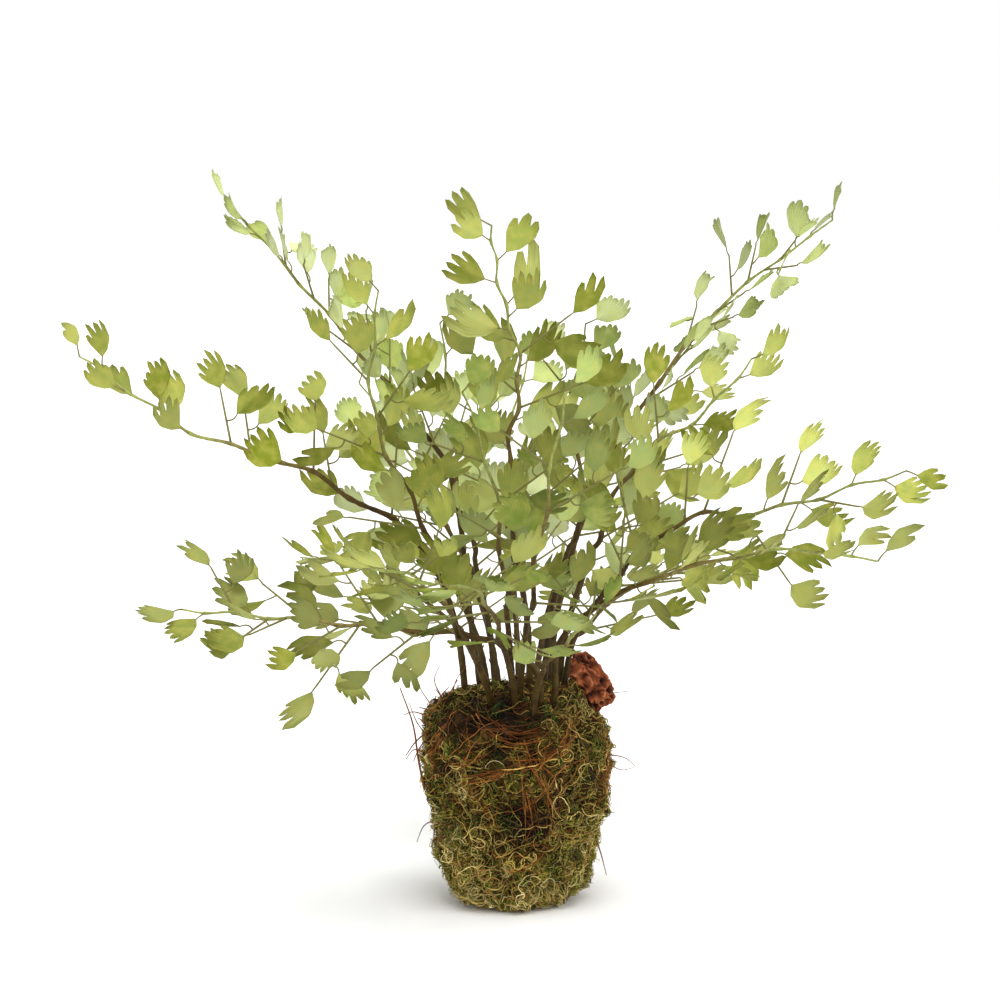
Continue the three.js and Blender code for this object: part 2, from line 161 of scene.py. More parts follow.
def makeMesh(name, points, faces, tints=None, uvs=None):
    # points in mm; faces is a list of index arrays; tints and uvs hold one row for each point
    mesh = bpy.data.meshes.new(name)
    corners = np.concatenate([f.ravel() for f in faces]).astype(np.int32)
    sizes = np.concatenate([np.full(len(f), f.shape[1]) for f in faces])
    mesh.vertices.add(len(points))
    mesh.vertices.foreach_set("co", (points * mm).astype(np.float32).ravel())
    mesh.loops.add(len(corners))
    mesh.loops.foreach_set("vertex_index", corners)
    mesh.polygons.add(len(sizes))
    mesh.polygons.foreach_set("loop_start", (np.cumsum(sizes) - sizes).astype(np.int32))
    mesh.polygons.foreach_set("use_smooth", np.ones(len(sizes), dtype=bool))
    if uvs is not None:
        layer = mesh.uv_layers.new(name="UVMap")
        layer.data.foreach_set("uv", uvs[corners].astype(np.float32).ravel())
    if tints is not None:
        layer = mesh.attributes.new("tint", "FLOAT_COLOR", "POINT")
        rows = np.concatenate([tints, np.ones((len(tints), 1))], axis=1)
        layer.data.foreach_set("color", rows.astype(np.float32).ravel())
    mesh.update(calc_edges=True)
    mesh.validate()
    return mesh


def addPiece(name, shape, material, nodes=()):  # shape: points, faces, tints and, on leaves, uvs
    mesh = makeMesh(name, *shape)
    piece = bpy.data.objects.new(name, mesh)
    bpy.context.collection.objects.link(piece)
    mesh.materials.append(material)
    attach(piece, "root")
    if nodes:
        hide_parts(*nodes)
    return piece


def tubes(paths, radii, sides):
    # Each path of paths[n, s] carries a ring of sides points at radius radii[n, s]; flat caps close its ends.
    count, steps = paths.shape[:2]
    along = np.gradient(paths, axis=1)
    along = unit(along + 1e-9)
    start = np.where(np.abs(along[:, :1, 2:3]) > 0.8, [[[1.0, 0.15, 0.1]]], [[[0.1, 0.15, 1.0]]])
    side = unit(np.cross(along, np.broadcast_to(start, along.shape)))
    other = np.cross(along, side)
    angle = np.arange(sides) * 2 * math.pi / sides
    ring = side[:, :, None] * np.cos(angle)[:, None] + other[:, :, None] * np.sin(angle)[:, None]
    points = paths[:, :, None] + ring * radii[:, :, None, None]
    index = np.arange(count * steps * sides).reshape(count, steps, sides)
    here, there = index[:, :-1], index[:, 1:]
    quads = np.stack([here, np.roll(here, -1, 2), np.roll(there, -1, 2), there], axis=-1).reshape(-1, 4)
    caps = np.concatenate([index[:, 0, ::-1], index[:, -1]])
    return points.reshape(-1, 3), [quads, caps]


def shell(rings, first, last):
    # Rings of points from a first pole to a last pole, with quads between rings and a fan at each pole.
    rows, columns = rings.shape[:2]
    points = np.concatenate([rings.reshape(-1, 3), [first, last]])
    index = np.arange(rows * columns).reshape(rows, columns)
    here, there = index[:-1], index[1:]
    quads = np.stack([here, np.roll(here, -1, 1), np.roll(there, -1, 1), there], axis=-1).reshape(-1, 4)
    low = np.full(columns, rows * columns)
    startFan = np.stack([low, np.roll(index[0], -1), index[0]], axis=-1)
    endFan = np.stack([low + 1, index[-1], np.roll(index[-1], -1)], axis=-1)
    return points, [quads, np.concatenate([startFan, endFan])]


def joined(parts):  # several (points, faces, tints, uvs) as one
    base, points, tints, uvs, faces = 0, [], [], [], {}
    for p, f, t, u in parts:
        for block in f:
            faces.setdefault(block.shape[1], []).append(block + base)
        base += len(p)
        points.append(p)
        tints.append(t)
        uvs.append(u)
    blocks = [np.concatenate(group) for group in faces.values()]
    return np.concatenate(points), blocks, np.concatenate(tints), np.concatenate(uvs)


# How the plant grows: the same rule as the solids.

stalk = {"seat": 68, "top": 88, "gather": 0.88, "base": 1.55, "neck": 1.1}
rachis = {"zigzag": (1.4, 0.7), "crowding": 1.2, "below": 6}
sprayRule = {"pace": 0.7, "first": 0.9, "side": 1.15, "open": (1.1, 0.95), "sink": 0.2}
leafletRule = {
    "petiole": 4.8, "endPetiole": 2.8, "spread": 0.5, "bend": 0.25, "skew": 0.22,
    "shrink": (1, 0.84), "taper": 0.88,
}
varies = {"spray": 0.09, "leaflet": 0.07, "twist": 0.6, "nod": 0.35, "lean": 0.25, "open": 0.12}
room = {"leaflet": 1.7, "branch": 0.95, "stem": 1.55, "tip": 0.78}
samples = {"fan": ((0.3, 1), (0.62, 3), (0.95, 4)), "branch": 2.5, "clearOfStem": 4, "stem": 2}
tries = {"order": (0, 1, -1, 2, -2, 3, -3, 4, -4), "turn": 0.22}

# Each frond: its tone, its longest leaflet, how its sprays lift, the share of its stem that is bare, its seed, its
# painted shade (how much darker its leaflets are painted, and painted lighter where it is negative), where it leaves
# the ball, the points it passes, the way it faces, and one digit for each spray and each thin extra spray, which is
# its number of leaflets.
fronds = [
    dict(name="crown", tone="olive", leaf=18.5, lift=0, leafy=0.42, seed=89, paintedShade=0.35, root=(5, -2),
         through=((4, -2, 115), (-4, -2, 170), (1, -3, 214), (-6, -6, 244), (-9, -8, 260), (-10, -10, 272)),
         face=(0.1, -1, 0.1), sprays="333221211111", extras="11112211"),
    dict(name="left_long", tone="olive", leaf=15.5, lift=0.9, leafy=0.42, seed=97, root=(-21, -4),
         through=((-26, -10, 120), (-42, -18, 150), (-85, -26, 178), (-125, -30, 192), (-169, -34, 222)),
         face=(-0.2, -1, 0.25), sprays="333322111", extras="2232211"),
    dict(name="right_long", tone="olive", leaf=15.5, lift=0.3, leafy=0.36, seed=49, paintedShade=-0.25, root=(19, -6),
         through=((26, -17, 116), (60, -39, 157), (96, -50, 164), (147, -58, 180)),
         face=(0.1, -1, 0.5), sprays="333332211", extras="222111"),
    dict(name="left_upright", tone="olive", leaf=16, lift=0.2, leafy=0.4, seed=79, root=(-12, -8),
         through=((-17, -12, 112), (-36, -24, 155), (-56, -28, 200), (-54, -24, 247)),
         face=(-0.15, -1, 0.2), sprays="33332211", extras="1211"),
    dict(name="upper_right", tone="pale", leaf=13.5, lift=0.45, leafy=0.45, seed=94, paintedShade=0.3, root=(14, 15),
         through=((18, 30, 118), (36, 44, 170), (80, 52, 233), (130, 44, 274)),
         face=(-0.75, -0.25, 0.6), sprays="33332221", extras="3332221"),
    dict(name="upper_left", tone="pale", leaf=13.5, lift=0.55, leafy=0.44, seed=97, paintedShade=0.15, root=(-15, 8),
         through=((-20, 18, 120), (-28, 28, 172), (-60, 32, 215), (-116, 24, 281)),
         face=(0.5, -0.5, 0.7), sprays="33322211", extras="3332221"),
    dict(name="left_low", tone="olive", leaf=15.5, lift=0.25, leafy=0.43, seed=30, paintedShade=0.2, root=(9, -20),
         through=((6, -30, 100), (-12, -48, 114), (-75, -68, 124), (-126, -72, 129)),
         face=(-0.1, -0.8, 0.75), sprays="23333221", extras="333221"),
    dict(name="right_low", tone="olive", leaf=15.5, lift=0.35, leafy=0.34, seed=79, paintedShade=0.1, root=(15, -16),
         through=((18, -28, 112), (45, -51, 135), (95, -70, 151), (134, -78, 148)),
         face=(0.1, -0.5, 1), sprays="33332211", extras="2221"),
    dict(name="right_upper", tone="olive", leaf=15.5, lift=0.4, leafy=0.46, seed=11, root=(17, 2),
         through=((22, 1, 118), (44, -6, 174), (74, -12, 199), (92, -14, 220)),
         face=(0.1, -1, 0.15), sprays="3322111", extras="211"),
    dict(name="centre", tone="fresh", leaf=16.5, lift=0.1, leafy=0.42, seed=106, paintedShade=0.15, root=(-2, -12),
         through=((-4, -26, 120), (-9, -48, 172), (-21, -60, 210)), face=(-0.1, -1, 0.55), sprays="33321"),
    dict(name="front_right", tone="fresh", leaf=17, lift=0.1, leafy=0.42, seed=72, root=(1, -19),
         through=((4, -42, 122), (11, -70, 172), (17, -86, 212)), face=(0.15, -1, 0.6), sprays="33321"),
    dict(name="left_back", tone="pale", leaf=15.5, lift=0.1, leafy=0.45, seed=54, root=(-9, 11),
         through=((-12, 24, 112), (-24, 46, 165), (-32, 60, 231)), face=(-0.1, -1, 0.35), sprays="33321"),
    dict(name="right_pale", tone="pale", leaf=15.5, lift=0.1, leafy=0.48, seed=45, root=(11, 8),
         through=((15, 16, 120), (28, 22, 166), (22, 25, 190), (28, 28, 232)),
         face=(0.1, -1, 0.2), sprays="33321"),
    dict(name="front_low", tone="fresh", leaf=16, lift=0, leafy=0.42, seed=19, root=(-1, -25),
         through=((-6, -58, 114), (-14, -106, 140), (-25, -138, 147)),
         face=(0, -0.3, 1), sprays="22211", extras="3321"),
    dict(name="right_small", tone="fresh", leaf=14.5, lift=0.05, leafy=0.5, seed=59, root=(7, -29),
         through=((12, -48, 105), (29, -82, 129)), face=(0.2, -0.5, 1), sprays="1111"),
    dict(name="front_left", tone="olive", leaf=16, lift=0.05, leafy=0.42, seed=29, root=(-11, -23),
         through=((-21, -60, 117), (-36, -108, 145), (-52, -146, 154)),
         face=(-0.2, -0.3, 1), sprays="33221", extras="3321"),
    dict(name="back_left", tone="pale", leaf=16.5, lift=0.1, leafy=0.42, seed=26, root=(-8, 21),
         through=((-16, 58, 116), (-40, 110, 162), (-70, 138, 201)),
         face=(0.2, -0.7, 0.8), sprays="33321", extras="211"),
    dict(name="back_mid", tone="pale", leaf=16.5, lift=0.1, leafy=0.4, seed=27, root=(1, 23),
         through=((-1, 60, 123), (-3, 100, 174), (6, 118, 218)),
         face=(0, -0.8, 0.7), sprays="33321", extras="211"),
    dict(name="back_right", tone="olive", leaf=16.5, lift=0.1, leafy=0.4, seed=28, root=(8, 23),
         through=((18, 66, 122), (44, 116, 165), (79, 142, 197)),
         face=(-0.2, -0.7, 0.8), sprays="33321", extras="211"),
    dict(name="back_low_left", tone="olive", leaf=16, lift=0.1, leafy=0.36, seed=29, root=(-13, 25),
         through=((-26, 68, 101), (-58, 120, 119), (-98, 156, 120)),
         face=(-0.2, 0.3, 1), sprays="33321", extras="221"),
    dict(name="back_low_right", tone="olive", leaf=16, lift=0.1, leafy=0.36, seed=30, root=(13, 27),
         through=((28, 68, 100), (62, 118, 117), (105, 150, 121)),
         face=(0.2, 0.3, 1), sprays="33321", extras="221"),
]


def smoothStem(points):
    # Catmull-Rom curve through the points, read by share of its length
    ends = np.vstack([2 * points[0] - points[1], points, 2 * points[-1] - points[-2]])

    def curve(t):
        spot = np.asarray(t) * (len(points) - 1)
        i = np.clip(np.floor(spot).astype(int), 0, len(points) - 2)
        w = (spot - i)[..., None]
        before, a, b, after = ends[i], ends[i + 1], ends[i + 2], ends[i + 3]
        ta, tb = (b - before) / 2, (after - a) / 2
        return a + ta * w + (3 * (b - a) - 2 * ta - tb) * w**2 + (2 * (a - b) + ta + tb) * w**3

    grid = np.linspace(0, 1, 201)
    steps = np.linalg.norm(np.diff(curve(grid), axis=0), axis=1)
    lengths = np.concatenate([[0], np.cumsum(steps)])

    def at(share):
        return curve(np.interp(np.asarray(share) * lengths[-1], lengths, grid))

    def heading(share):
        t = np.interp(share * lengths[-1], lengths, grid)
        return unit(curve(min(t + 1e-4, 1)) - curve(max(t - 1e-4, 0)))

    return at, heading, lengths[-1]


def stemOf(plan):
    x, y = plan["root"]
    gather = stalk["gather"]
    points = [(x * gather, y * gather, stalk["seat"]), (x, y, stalk["top"]), *plan["through"]]
    at, heading, length = smoothStem(np.array(points, dtype=float))
    count = len(plan["sprays"])

    def knotAt(i, leaflets, hand, onStem):
        progress = i / count
        share = 1 - (1 - plan["leafy"]) * (1 - progress) ** rachis["crowding"]
        along = heading(share)
        face = across(np.array(plan["face"], dtype=float), along)
        side = np.cross(face, along) * hand
        point = at(share) + side * mix(*rachis["zigzag"], progress) * onStem
        return {"leaflets": leaflets, "progress": progress, "hand": hand,
                "point": point, "along": along, "face": face, "side": side}

    knots = [knotAt(i, int(n), 1 if i % 2 else -1, 1) for i, n in enumerate(plan["sprays"])]
    extras = [knotAt(i + 0.5, int(n), -1 if i % 2 else 1, 0) for i, n in enumerate(plan.get("extras", "")) if n > "0"]
    split = plan["leafy"] - rachis["below"] / length
    return dict(at=at, length=length, knots=knots, extras=extras, split=split)


def drawSpray(plan, knot, count, draw):
    size = plan["leaf"] * mix(*leafletRule["shrink"], knot["progress"]) * (1 + wobble(draw, varies["spray"]))
    pace = size * sprayRule["pace"]
    first = pace * sprayRule["first"] if count > 1 else 0
    leaflets = []
    for j in range(count):
        last = j == count - 1
        hand = 0 if last else 1 - 2 * (j % 2)
        leaflets.append({
            "hand": hand,
            "curve": hand or -knot["hand"],
            "base": np.array([0, first + pace * j, 0]),
            "angle": hand * sprayRule["side"],
            "size": size * mix(1, leafletRule["taper"], j / count) * (1 + wobble(draw, varies["leaflet"])),
            "petiole": leafletRule["endPetiole"] if last and count > 1 else leafletRule["petiole"],
            "twist": wobble(draw, varies["twist"]),
            "nod": wobble(draw, varies["nod"]),
        })
    lean = wobble(draw, varies["lean"])
    opened = mix(*sprayRule["open"], knot["progress"]) + wobble(draw, varies["open"])
    return {"leaflets": leaflets, "lean": lean, "open": opened}


def leafletTurn(leaflet):  # twisted about its petiole, then nodding at its base
    axis = np.array([math.sin(leaflet["angle"]), math.cos(leaflet["angle"]), 0])
    crossways = np.array([axis[1], -axis[0], 0])
    return turnAbout(crossways, leaflet["nod"]) @ turnAbout(axis, leaflet["twist"])


def placeSpray(plan, knot, spray, turn):
    way = knot["along"] * math.cos(spray["open"]) + knot["side"] * math.sin(spray["open"])
    way = unit(way + np.array([0, 0, plan["lift"]]))
    way = turnAbout(knot["along"], spray["lean"] + turn * tries["turn"]) @ way
    normal = across(knot["face"], way)
    return np.stack([np.cross(way, normal), way, normal], axis=1)


def ballsOf(spray, basis, origin):
    flat, radii = [], []
    reach = np.arange(samples["clearOfStem"], spray["leaflets"][-1]["base"][1], samples["branch"])
    flat.append(np.stack([reach * 0, reach, reach * 0], axis=1))
    radii.append(np.full(len(reach), room["branch"]))
    for leaflet in spray["leaflets"]:
        neck = leaflet["petiole"]
        rows = []
        for share, steps in samples["fan"]:
            u = np.linspace(-1, 1, steps + 1)
            angle = leaflet["angle"] + u * leafletRule["spread"] - leaflet["curve"] * leafletRule["bend"] * share
            far = share * leaflet["size"] * (1 + leaflet["curve"] * leafletRule["skew"] * u)
            x = math.sin(leaflet["angle"]) * neck + np.sin(angle) * far
            y = math.cos(leaflet["angle"]) * neck + np.cos(angle) * far
            rows.append(np.stack([x, y, x * 0], axis=1))
        fan = np.concatenate(rows)
        flat.append(fan @ leafletTurn(leaflet).T + leaflet["base"])
        radii.append(np.full(len(fan), room["leaflet"]))
    return np.concatenate(flat) @ basis.T + origin, np.concatenate(radii)


class Crowd:
    def __init__(self):
        self.points, self.radii = np.zeros((0, 3)), np.zeros(0)

    def add(self, points, radii):
        self.points = np.vstack([self.points, points])
        self.radii = np.concatenate([self.radii, radii])

    def isFree(self, points, radii):
        apart = np.linalg.norm(points[:, None] - self.points, axis=2)
        return bool((apart > radii[:, None] + self.radii).all())


def growSpray(plan, knot, draw, crowd):
    for count in (knot["leaflets"], 1):
        spray = drawSpray(plan, knot, count, draw)
        for turn in tries["order"]:
            basis = placeSpray(plan, knot, spray, turn)
            balls = ballsOf(spray, basis, knot["point"])
            if crowd.isFree(*balls):
                crowd.add(*balls)
                return dict(spray, basis=basis, origin=knot["point"], knot=knot)
    return None


def growPlant():
    crowd = Crowd()
    stems = [stemOf(plan) for plan in fronds]
    for stem in stems:
        share = np.arange(0, stem["length"], samples["stem"]) / stem["length"]
        crowd.add(stem["at"](share), mix(room["stem"], room["tip"], share))
    blades = []
    for plan, stem in zip(fronds, stems):
        draw = drawsFrom(plan["seed"])
        end = dict(stem["knots"][-1], point=stem["at"](1.0), progress=1, leaflets=1)
        grown = [growSpray(plan, knot, draw, crowd) for knot in [*stem["knots"], end]]
        blades.append([spray for spray in grown if spray])
    for plan, stem, blade in zip(fronds, stems, blades):  # thin sprays between the knots, finer than the solids
        draw = drawsFrom(plan["seed"] + 100)
        grown = [growSpray(plan, knot, draw, crowd) for knot in stem["extras"]]
        blade += [spray for spray in grown if spray]
    return stems, blades


stems, blades = growPlant()
print("plant grown:", sum(len(s["leaflets"]) for b in blades for s in b), "leaflets")

# Materials.


def linear(hexCode):  # "#rrggbb" to the linear colour that a shader takes
    parts = [int(hexCode[i:i + 2], 16) / 255 for i in (1, 3, 5)]
    return (*[c / 12.92 if c < 0.04045 else ((c + 0.055) / 1.055) ** 2.4 for c in parts], 1)


def plug(tree, socket, value):  # another node's socket is linked, and a number or colour is set
    if isinstance(value, bpy.types.NodeSocket):
        tree.links.new(value, socket)
    else:
        socket.default_value = value


def addNode(tree, kind, settings=None, **inputs):  # an input is given by its name, or by its number as i0, i1
    node = tree.nodes.new(kind)
    for key, value in (settings or {}).items():
        setattr(node, key, value)
    for key, value in inputs.items():
        plug(tree, node.inputs[int(key[1:]) if key[0] == "i" and key[1:].isdigit() else key], value)
    return node


def newGroup(name, inputs, outputs):
    group = bpy.data.node_groups.new(name, "ShaderNodeTree")
    for label, kind, value in inputs:
        group.interface.new_socket(label, in_out="INPUT", socket_type=kind).default_value = value
    for label, kind in outputs:
        group.interface.new_socket(label, in_out="OUTPUT", socket_type=kind)
    return group, addNode(group, "NodeGroupInput"), addNode(group, "NodeGroupOutput")


def patchGroup():  # soft patches from 0 to 1 over the surface
    group, given, result = newGroup("patches", [
        ("Scale", "NodeSocketFloat", 100.0), ("Detail", "NodeSocketFloat", 3.0),
        ("Low", "NodeSocketFloat", 0.35), ("High", "NodeSocketFloat", 0.65),
    ], [("Mask", "NodeSocketFloat")])
    place = addNode(group, "ShaderNodeTexCoord")
    noise = addNode(group, "ShaderNodeTexNoise", Vector=place.outputs["Object"],
                    Scale=given.outputs["Scale"], Detail=given.outputs["Detail"])
    ranged = addNode(group, "ShaderNodeMapRange", Value=noise.outputs["Fac"],
                     i1=given.outputs["Low"], i2=given.outputs["High"])
    group.links.new(ranged.outputs["Result"], result.inputs["Mask"])
    return group


def shadeGroup():  # a colour made lighter or darker by a value about 0.5, by an amount
    group, given, result = newGroup("shade", [
        ("Colour", "NodeSocketColor", (0.5, 0.5, 0.5, 1)), ("Value", "NodeSocketFloat", 0.5),
        ("Amount", "NodeSocketFloat", 0.5),
    ], [("Colour", "NodeSocketColor")])
    low = addNode(group, "ShaderNodeMath", {"operation": "SUBTRACT"}, i0=1.0, i1=given.outputs["Amount"])
    high = addNode(group, "ShaderNodeMath", {"operation": "ADD"}, i0=1.0, i1=given.outputs["Amount"])
    ranged = addNode(group, "ShaderNodeMapRange", {"clamp": False}, Value=given.outputs["Value"],
                     i3=low.outputs[0], i4=high.outputs[0])
    scaled = addNode(group, "ShaderNodeVectorMath", {"operation": "SCALE"},
                     i0=given.outputs["Colour"], Scale=ranged.outputs["Result"])
    group.links.new(scaled.outputs["Vector"], result.inputs["Colour"])
    return group


patches, shade = patchGroup(), shadeGroup()


def useGroup(tree, group, **inputs):
    node = tree.nodes.new("ShaderNodeGroup")
    node.node_tree = group
    for key, value in inputs.items():
        plug(tree, node.inputs[key], value)
    return node.outputs[0]


def blend(tree, mask, low, high):  # one colour fading into another by a mask
    node = addNode(tree, "ShaderNodeMix", {"data_type": "RGBA"})
    for i, value in ((0, mask), (6, low), (7, high)):
        plug(tree, node.inputs[i], value)
    return node.outputs[2]


def math2(tree, operation, a, b=0.5):
    return addNode(tree, "ShaderNodeMath", {"operation": operation}, i0=a, i1=b).outputs[0]


def bump(tree, height, strength, distance):
    return addNode(tree, "ShaderNodeBump", Height=height, Strength=strength, Distance=distance).outputs["Normal"]


def skinOf(tree, body, normal, roughness, specular=0.2):
    skin = addNode(tree, "ShaderNodeBsdfPrincipled", Roughness=roughness)
    skin.inputs["Specular IOR Level"].default_value = specular
    tree.links.new(body, skin.inputs["Base Color"])
    tree.links.new(normal, skin.inputs["Normal"])
    return skin.outputs[0]


def newMaterial(name):
    material = bpy.data.materials.new(name)
    material.use_nodes = True
    material.node_tree.nodes.clear()
    return material, material.node_tree


def tintOf(tree):
    attribute = addNode(tree, "ShaderNodeAttribute", {"attribute_name": "tint"})
    return addNode(tree, "ShaderNodeSeparateColor", Color=attribute.outputs["Color"]).outputs


leafLook = {
    "olive": {"deep": "#879228", "light": "#c5cc80", "yellow": "#cbc364"},
    "fresh": {"deep": "#768a28", "light": "#b9c883", "yellow": "#c5c36a"},
    "pale": {"deep": "#a6b663", "light": "#d9e1b6", "yellow": "#d2d486"},
    "stalk": "#8a8550",
    "glow": "#cfd45e",
    "translucency": 0.36,
    "veins": 26.0,
    "mottle": 230.0,  # patches of yellow for each metre
    "yellowing": 0.5,
    "shades": {"vein": 0.12, "neck": 0.13, "leaflet": 0.26},  # how much each makes the colour lighter and darker
    "relief": (0.25, 0.0002),  # strength and depth in metres
    "roughness": 0.5,
}


def leafMaterial(tone):
    # tint: red picks the hue, green the brightness, blue is 1 on leaf stalks. uv: across the fan, and along it.
    look = leafLook[tone]
    material, tree = newMaterial("leaf" + tone.capitalize())
    hue, bright, isStalk = tintOf(tree)[:3]
    uv = addNode(tree, "ShaderNodeSeparateXYZ", Vector=addNode(tree, "ShaderNodeUVMap").outputs[0])
    acrossFan, alongFan = uv.outputs[0], uv.outputs[1]
    cloud = useGroup(tree, patches, Scale=leafLook["mottle"], Detail=4.0, Low=0.38, High=0.66)
    body = blend(tree, hue, linear(look["deep"]), linear(look["light"]))
    body = blend(tree, math2(tree, "MULTIPLY", cloud, leafLook["yellowing"]), body, linear(look["yellow"]))
    stripe = math2(tree, "PINGPONG", math2(tree, "MULTIPLY", acrossFan, leafLook["veins"]), 1.0)
    veined = math2(tree, "MULTIPLY", stripe, alongFan)
    nearNeck = math2(tree, "SUBTRACT", 1.0, math2(tree, "POWER", alongFan, 3.0))
    # the leaflet brightness holds a random tone together with its painted shade and painted light
    for value, name in ((veined, "vein"), (nearNeck, "neck"), (bright, "leaflet")):
        body = useGroup(tree, shade, Colour=body, Value=value, Amount=leafLook["shades"][name])
    body = blend(tree, isStalk, body, linear(leafLook["stalk"]))
    relief = math2(tree, "ADD", veined, math2(tree, "MULTIPLY", cloud, 0.6))
    skin = skinOf(tree, body, bump(tree, relief, *leafLook["relief"]), leafLook["roughness"])
    glow = blend(tree, 0.5, body, linear(leafLook["glow"]))
    through = addNode(tree, "ShaderNodeBsdfTranslucent", Color=glow)
    mixed = addNode(tree, "ShaderNodeMixShader", Fac=leafLook["translucency"],
                    i1=skin, i2=through.outputs[0])
    addNode(tree, "ShaderNodeOutputMaterial", Surface=mixed.outputs[0])
    return material


def ramp(tree, value, stops):
    node = addNode(tree, "ShaderNodeValToRGB", Fac=value)
    elements = node.color_ramp.elements
    while len(elements) < len(stops):
        elements.new(1.0)
    for element, (at, hexCode) in zip(elements, stops):
        element.position = at
        element.color = linear(hexCode)
    return node.outputs["Color"]


def fibreMaterial(name, stops, roughness, grain, spread=0.35):
    # tint: red picks a colour on the ramp, green the brightness (on the fibres it holds painted shade in the ball's
    # hollows)
    material, tree = newMaterial(name)
    pick, bright, _ = tintOf(tree)[:3]
    cloud = useGroup(tree, patches, Scale=grain, Detail=4.0, Low=0.3, High=0.7)
    body = useGroup(tree, shade, Colour=ramp(tree, pick, stops), Value=bright, Amount=spread)
    body = useGroup(tree, shade, Colour=body, Value=cloud, Amount=0.25)
    skin = skinOf(tree, body, bump(tree, cloud, 0.5, 0.0003), roughness)
    addNode(tree, "ShaderNodeOutputMaterial", Surface=skin)
    return material


# Fronds.

leafletShape = {
    "paintedLight": 0.35, "paintedLightFrom": 172, "paintedLightOver": 45,  # painted light and shade: leaflets above this height are painted paler, and those below it darker
    "larger": {"olive": 1.15, "fresh": 1.0, "pale": 1.08},
    "columns": (0.0, 0.17, 0.5, 0.83),  # where each finger has points: the notch, its shoulders and its tip
    "rows": (0.04, 0.42, 0.86),  # rows below the fingers, as shares of the notch's reach
    "thickness": 0.3,
    "fingers": {"olive": (2, 3, 4, 4, 5), "fresh": (4, 5, 5, 6), "pale": (5, 6, 6, 7)},
    "notch": {"olive": 0.36, "fresh": 0.26, "pale": 0.16},
    "spread": {"olive": (0.22, 0.06), "fresh": (0.26, 0.055), "pale": (0.3, 0.055)},  # half angle: least, each finger
    "bulge": {"olive": 0.95, "fresh": 0.7, "pale": 0.45},  # wider near the neck, so that the fingers point forward
    "rim": (0.2, 2.5),  # how far the rim draws in towards its ends, and the power it does so with
    "point": 0.55,  # power of the sine that shapes each finger: lower is blunter
    "bend": 0.5, "skew": 0.26, "cup": 0.1, "fold": 0.16, "ruffle": 0.05,
    "vary": {"depth": (0.75, 1.25), "finger": (0.86, 1.06), "skew": (-0.12, 0.12), "spread": (0.88, 1.12),
             "cup": (-0.6, 1.6), "fold": (-1, 1), "waves": (3, 6)},  # each leaflet draws its own between these
}


def fanLeaflets(leaflets, fingers, tone, rng):
    # A fan in polar form: reach r and angle a from the neck, x = r sin a, y = r cos a. The rim's reach falls to the
    # notches between the fingers, and the fan is cupped, folded along its middle and ruffled at its rim.
    shape, vary, n = leafletShape, leafletShape["vary"], len(leaflets)
    phase = np.concatenate([f + np.array(shape["columns"]) for f in range(fingers)] + [[fingers]])
    u = 2 * phase / fingers - 1
    size = np.array([leaflet["size"] for leaflet in leaflets])[:, None] * shape["larger"][tone]
    curve = np.array([leaflet["curve"] for leaflet in leaflets])[:, None]
    depth = shape["notch"][tone] * rng.uniform(*vary["depth"], (n, 1))
    fingerReach = rng.uniform(*vary["finger"], (n, fingers + 1))[:, np.minimum(phase.astype(int), fingers - 1)]
    skew = curve * shape["skew"] + rng.uniform(*vary["skew"], (n, 1))
    drawnIn, power = shape["rim"]
    rim = (1 - drawnIn * np.abs(u) ** power) * (1 + skew * u)
    notch = rim * (1 - depth)
    tip = notch + (rim * fingerReach - notch) * np.abs(np.sin(math.pi * phase)) ** shape["point"]
    reach = np.stack([notch * share for share in shape["rows"]] + [np.maximum(tip, notch)], axis=1) * size[..., None]
    v = reach / size[..., None]
    least, each = shape["spread"][tone]
    spread = (least + each * fingers) * rng.uniform(*vary["spread"], (n, 1, 1))
    bend = curve * shape["bend"] * rng.uniform(0.5, 1.2, (n, 1)) + rng.uniform(-0.15, 0.15, (n, 1))
    angle = u * spread * (1 + shape["bulge"][tone] * (1 - v)) - bend[..., None] * v
    cup = shape["cup"] * rng.uniform(*vary["cup"], (n, 1, 1))
    fold = shape["fold"] * rng.uniform(*vary["fold"], (n, 1, 1))
    wave = np.sin(u * rng.uniform(*vary["waves"], (n, 1, 1)) + rng.uniform(0, 6, (n, 1, 1)))
    z = size[..., None] * (cup * v**2 + fold * np.abs(u) * v + shape["ruffle"] * wave * v**2)
    neck = np.array([leaflet["petiole"] for leaflet in leaflets])[:, None, None]
    points = np.stack([reach * np.sin(angle), neck + reach * np.cos(angle), z], axis=-1)
    rows, columns = points.shape[1:3]
    lift = np.array([0, 0, shape["thickness"] / 2])
    both = np.stack([points + lift, points - lift], axis=1)
    index = np.arange(n * 2 * rows * columns).reshape(n, 2, rows, columns)
    top, under = index[:, 0], index[:, 1]

    def cells(grid):
        return np.stack([grid[:, :-1, :-1], grid[:, :-1, 1:], grid[:, 1:, 1:], grid[:, 1:, :-1]], axis=-1)

    def border(grid):
        return np.concatenate([grid[:, 0], grid[:, 1:, -1], grid[:, -1, -2::-1], grid[:, -2:0:-1, 0]], axis=1)

    edge, below = border(top), border(under)
    wall = np.stack([edge, below, np.roll(below, -1, 1), np.roll(edge, -1, 1)], axis=-1)
    quads = np.concatenate([cells(top)[..., ::-1].reshape(-1, 4), cells(under).reshape(-1, 4), wall.reshape(-1, 4)])
    flatUv = np.stack([np.broadcast_to((u + 1) / 2, v.shape), v], axis=-1)[:, None]
    uv = np.broadcast_to(flatUv, both.shape[:-1] + (2,))
    return both, quads, uv


def placeOnSpray(points, turns, bases):  # leaflet points turned on their petioles, in the spray's flat drawing
    flat = points.reshape(len(points), -1, 3)
    return np.einsum("nij,npj->npi", turns, flat) + bases[:, None]


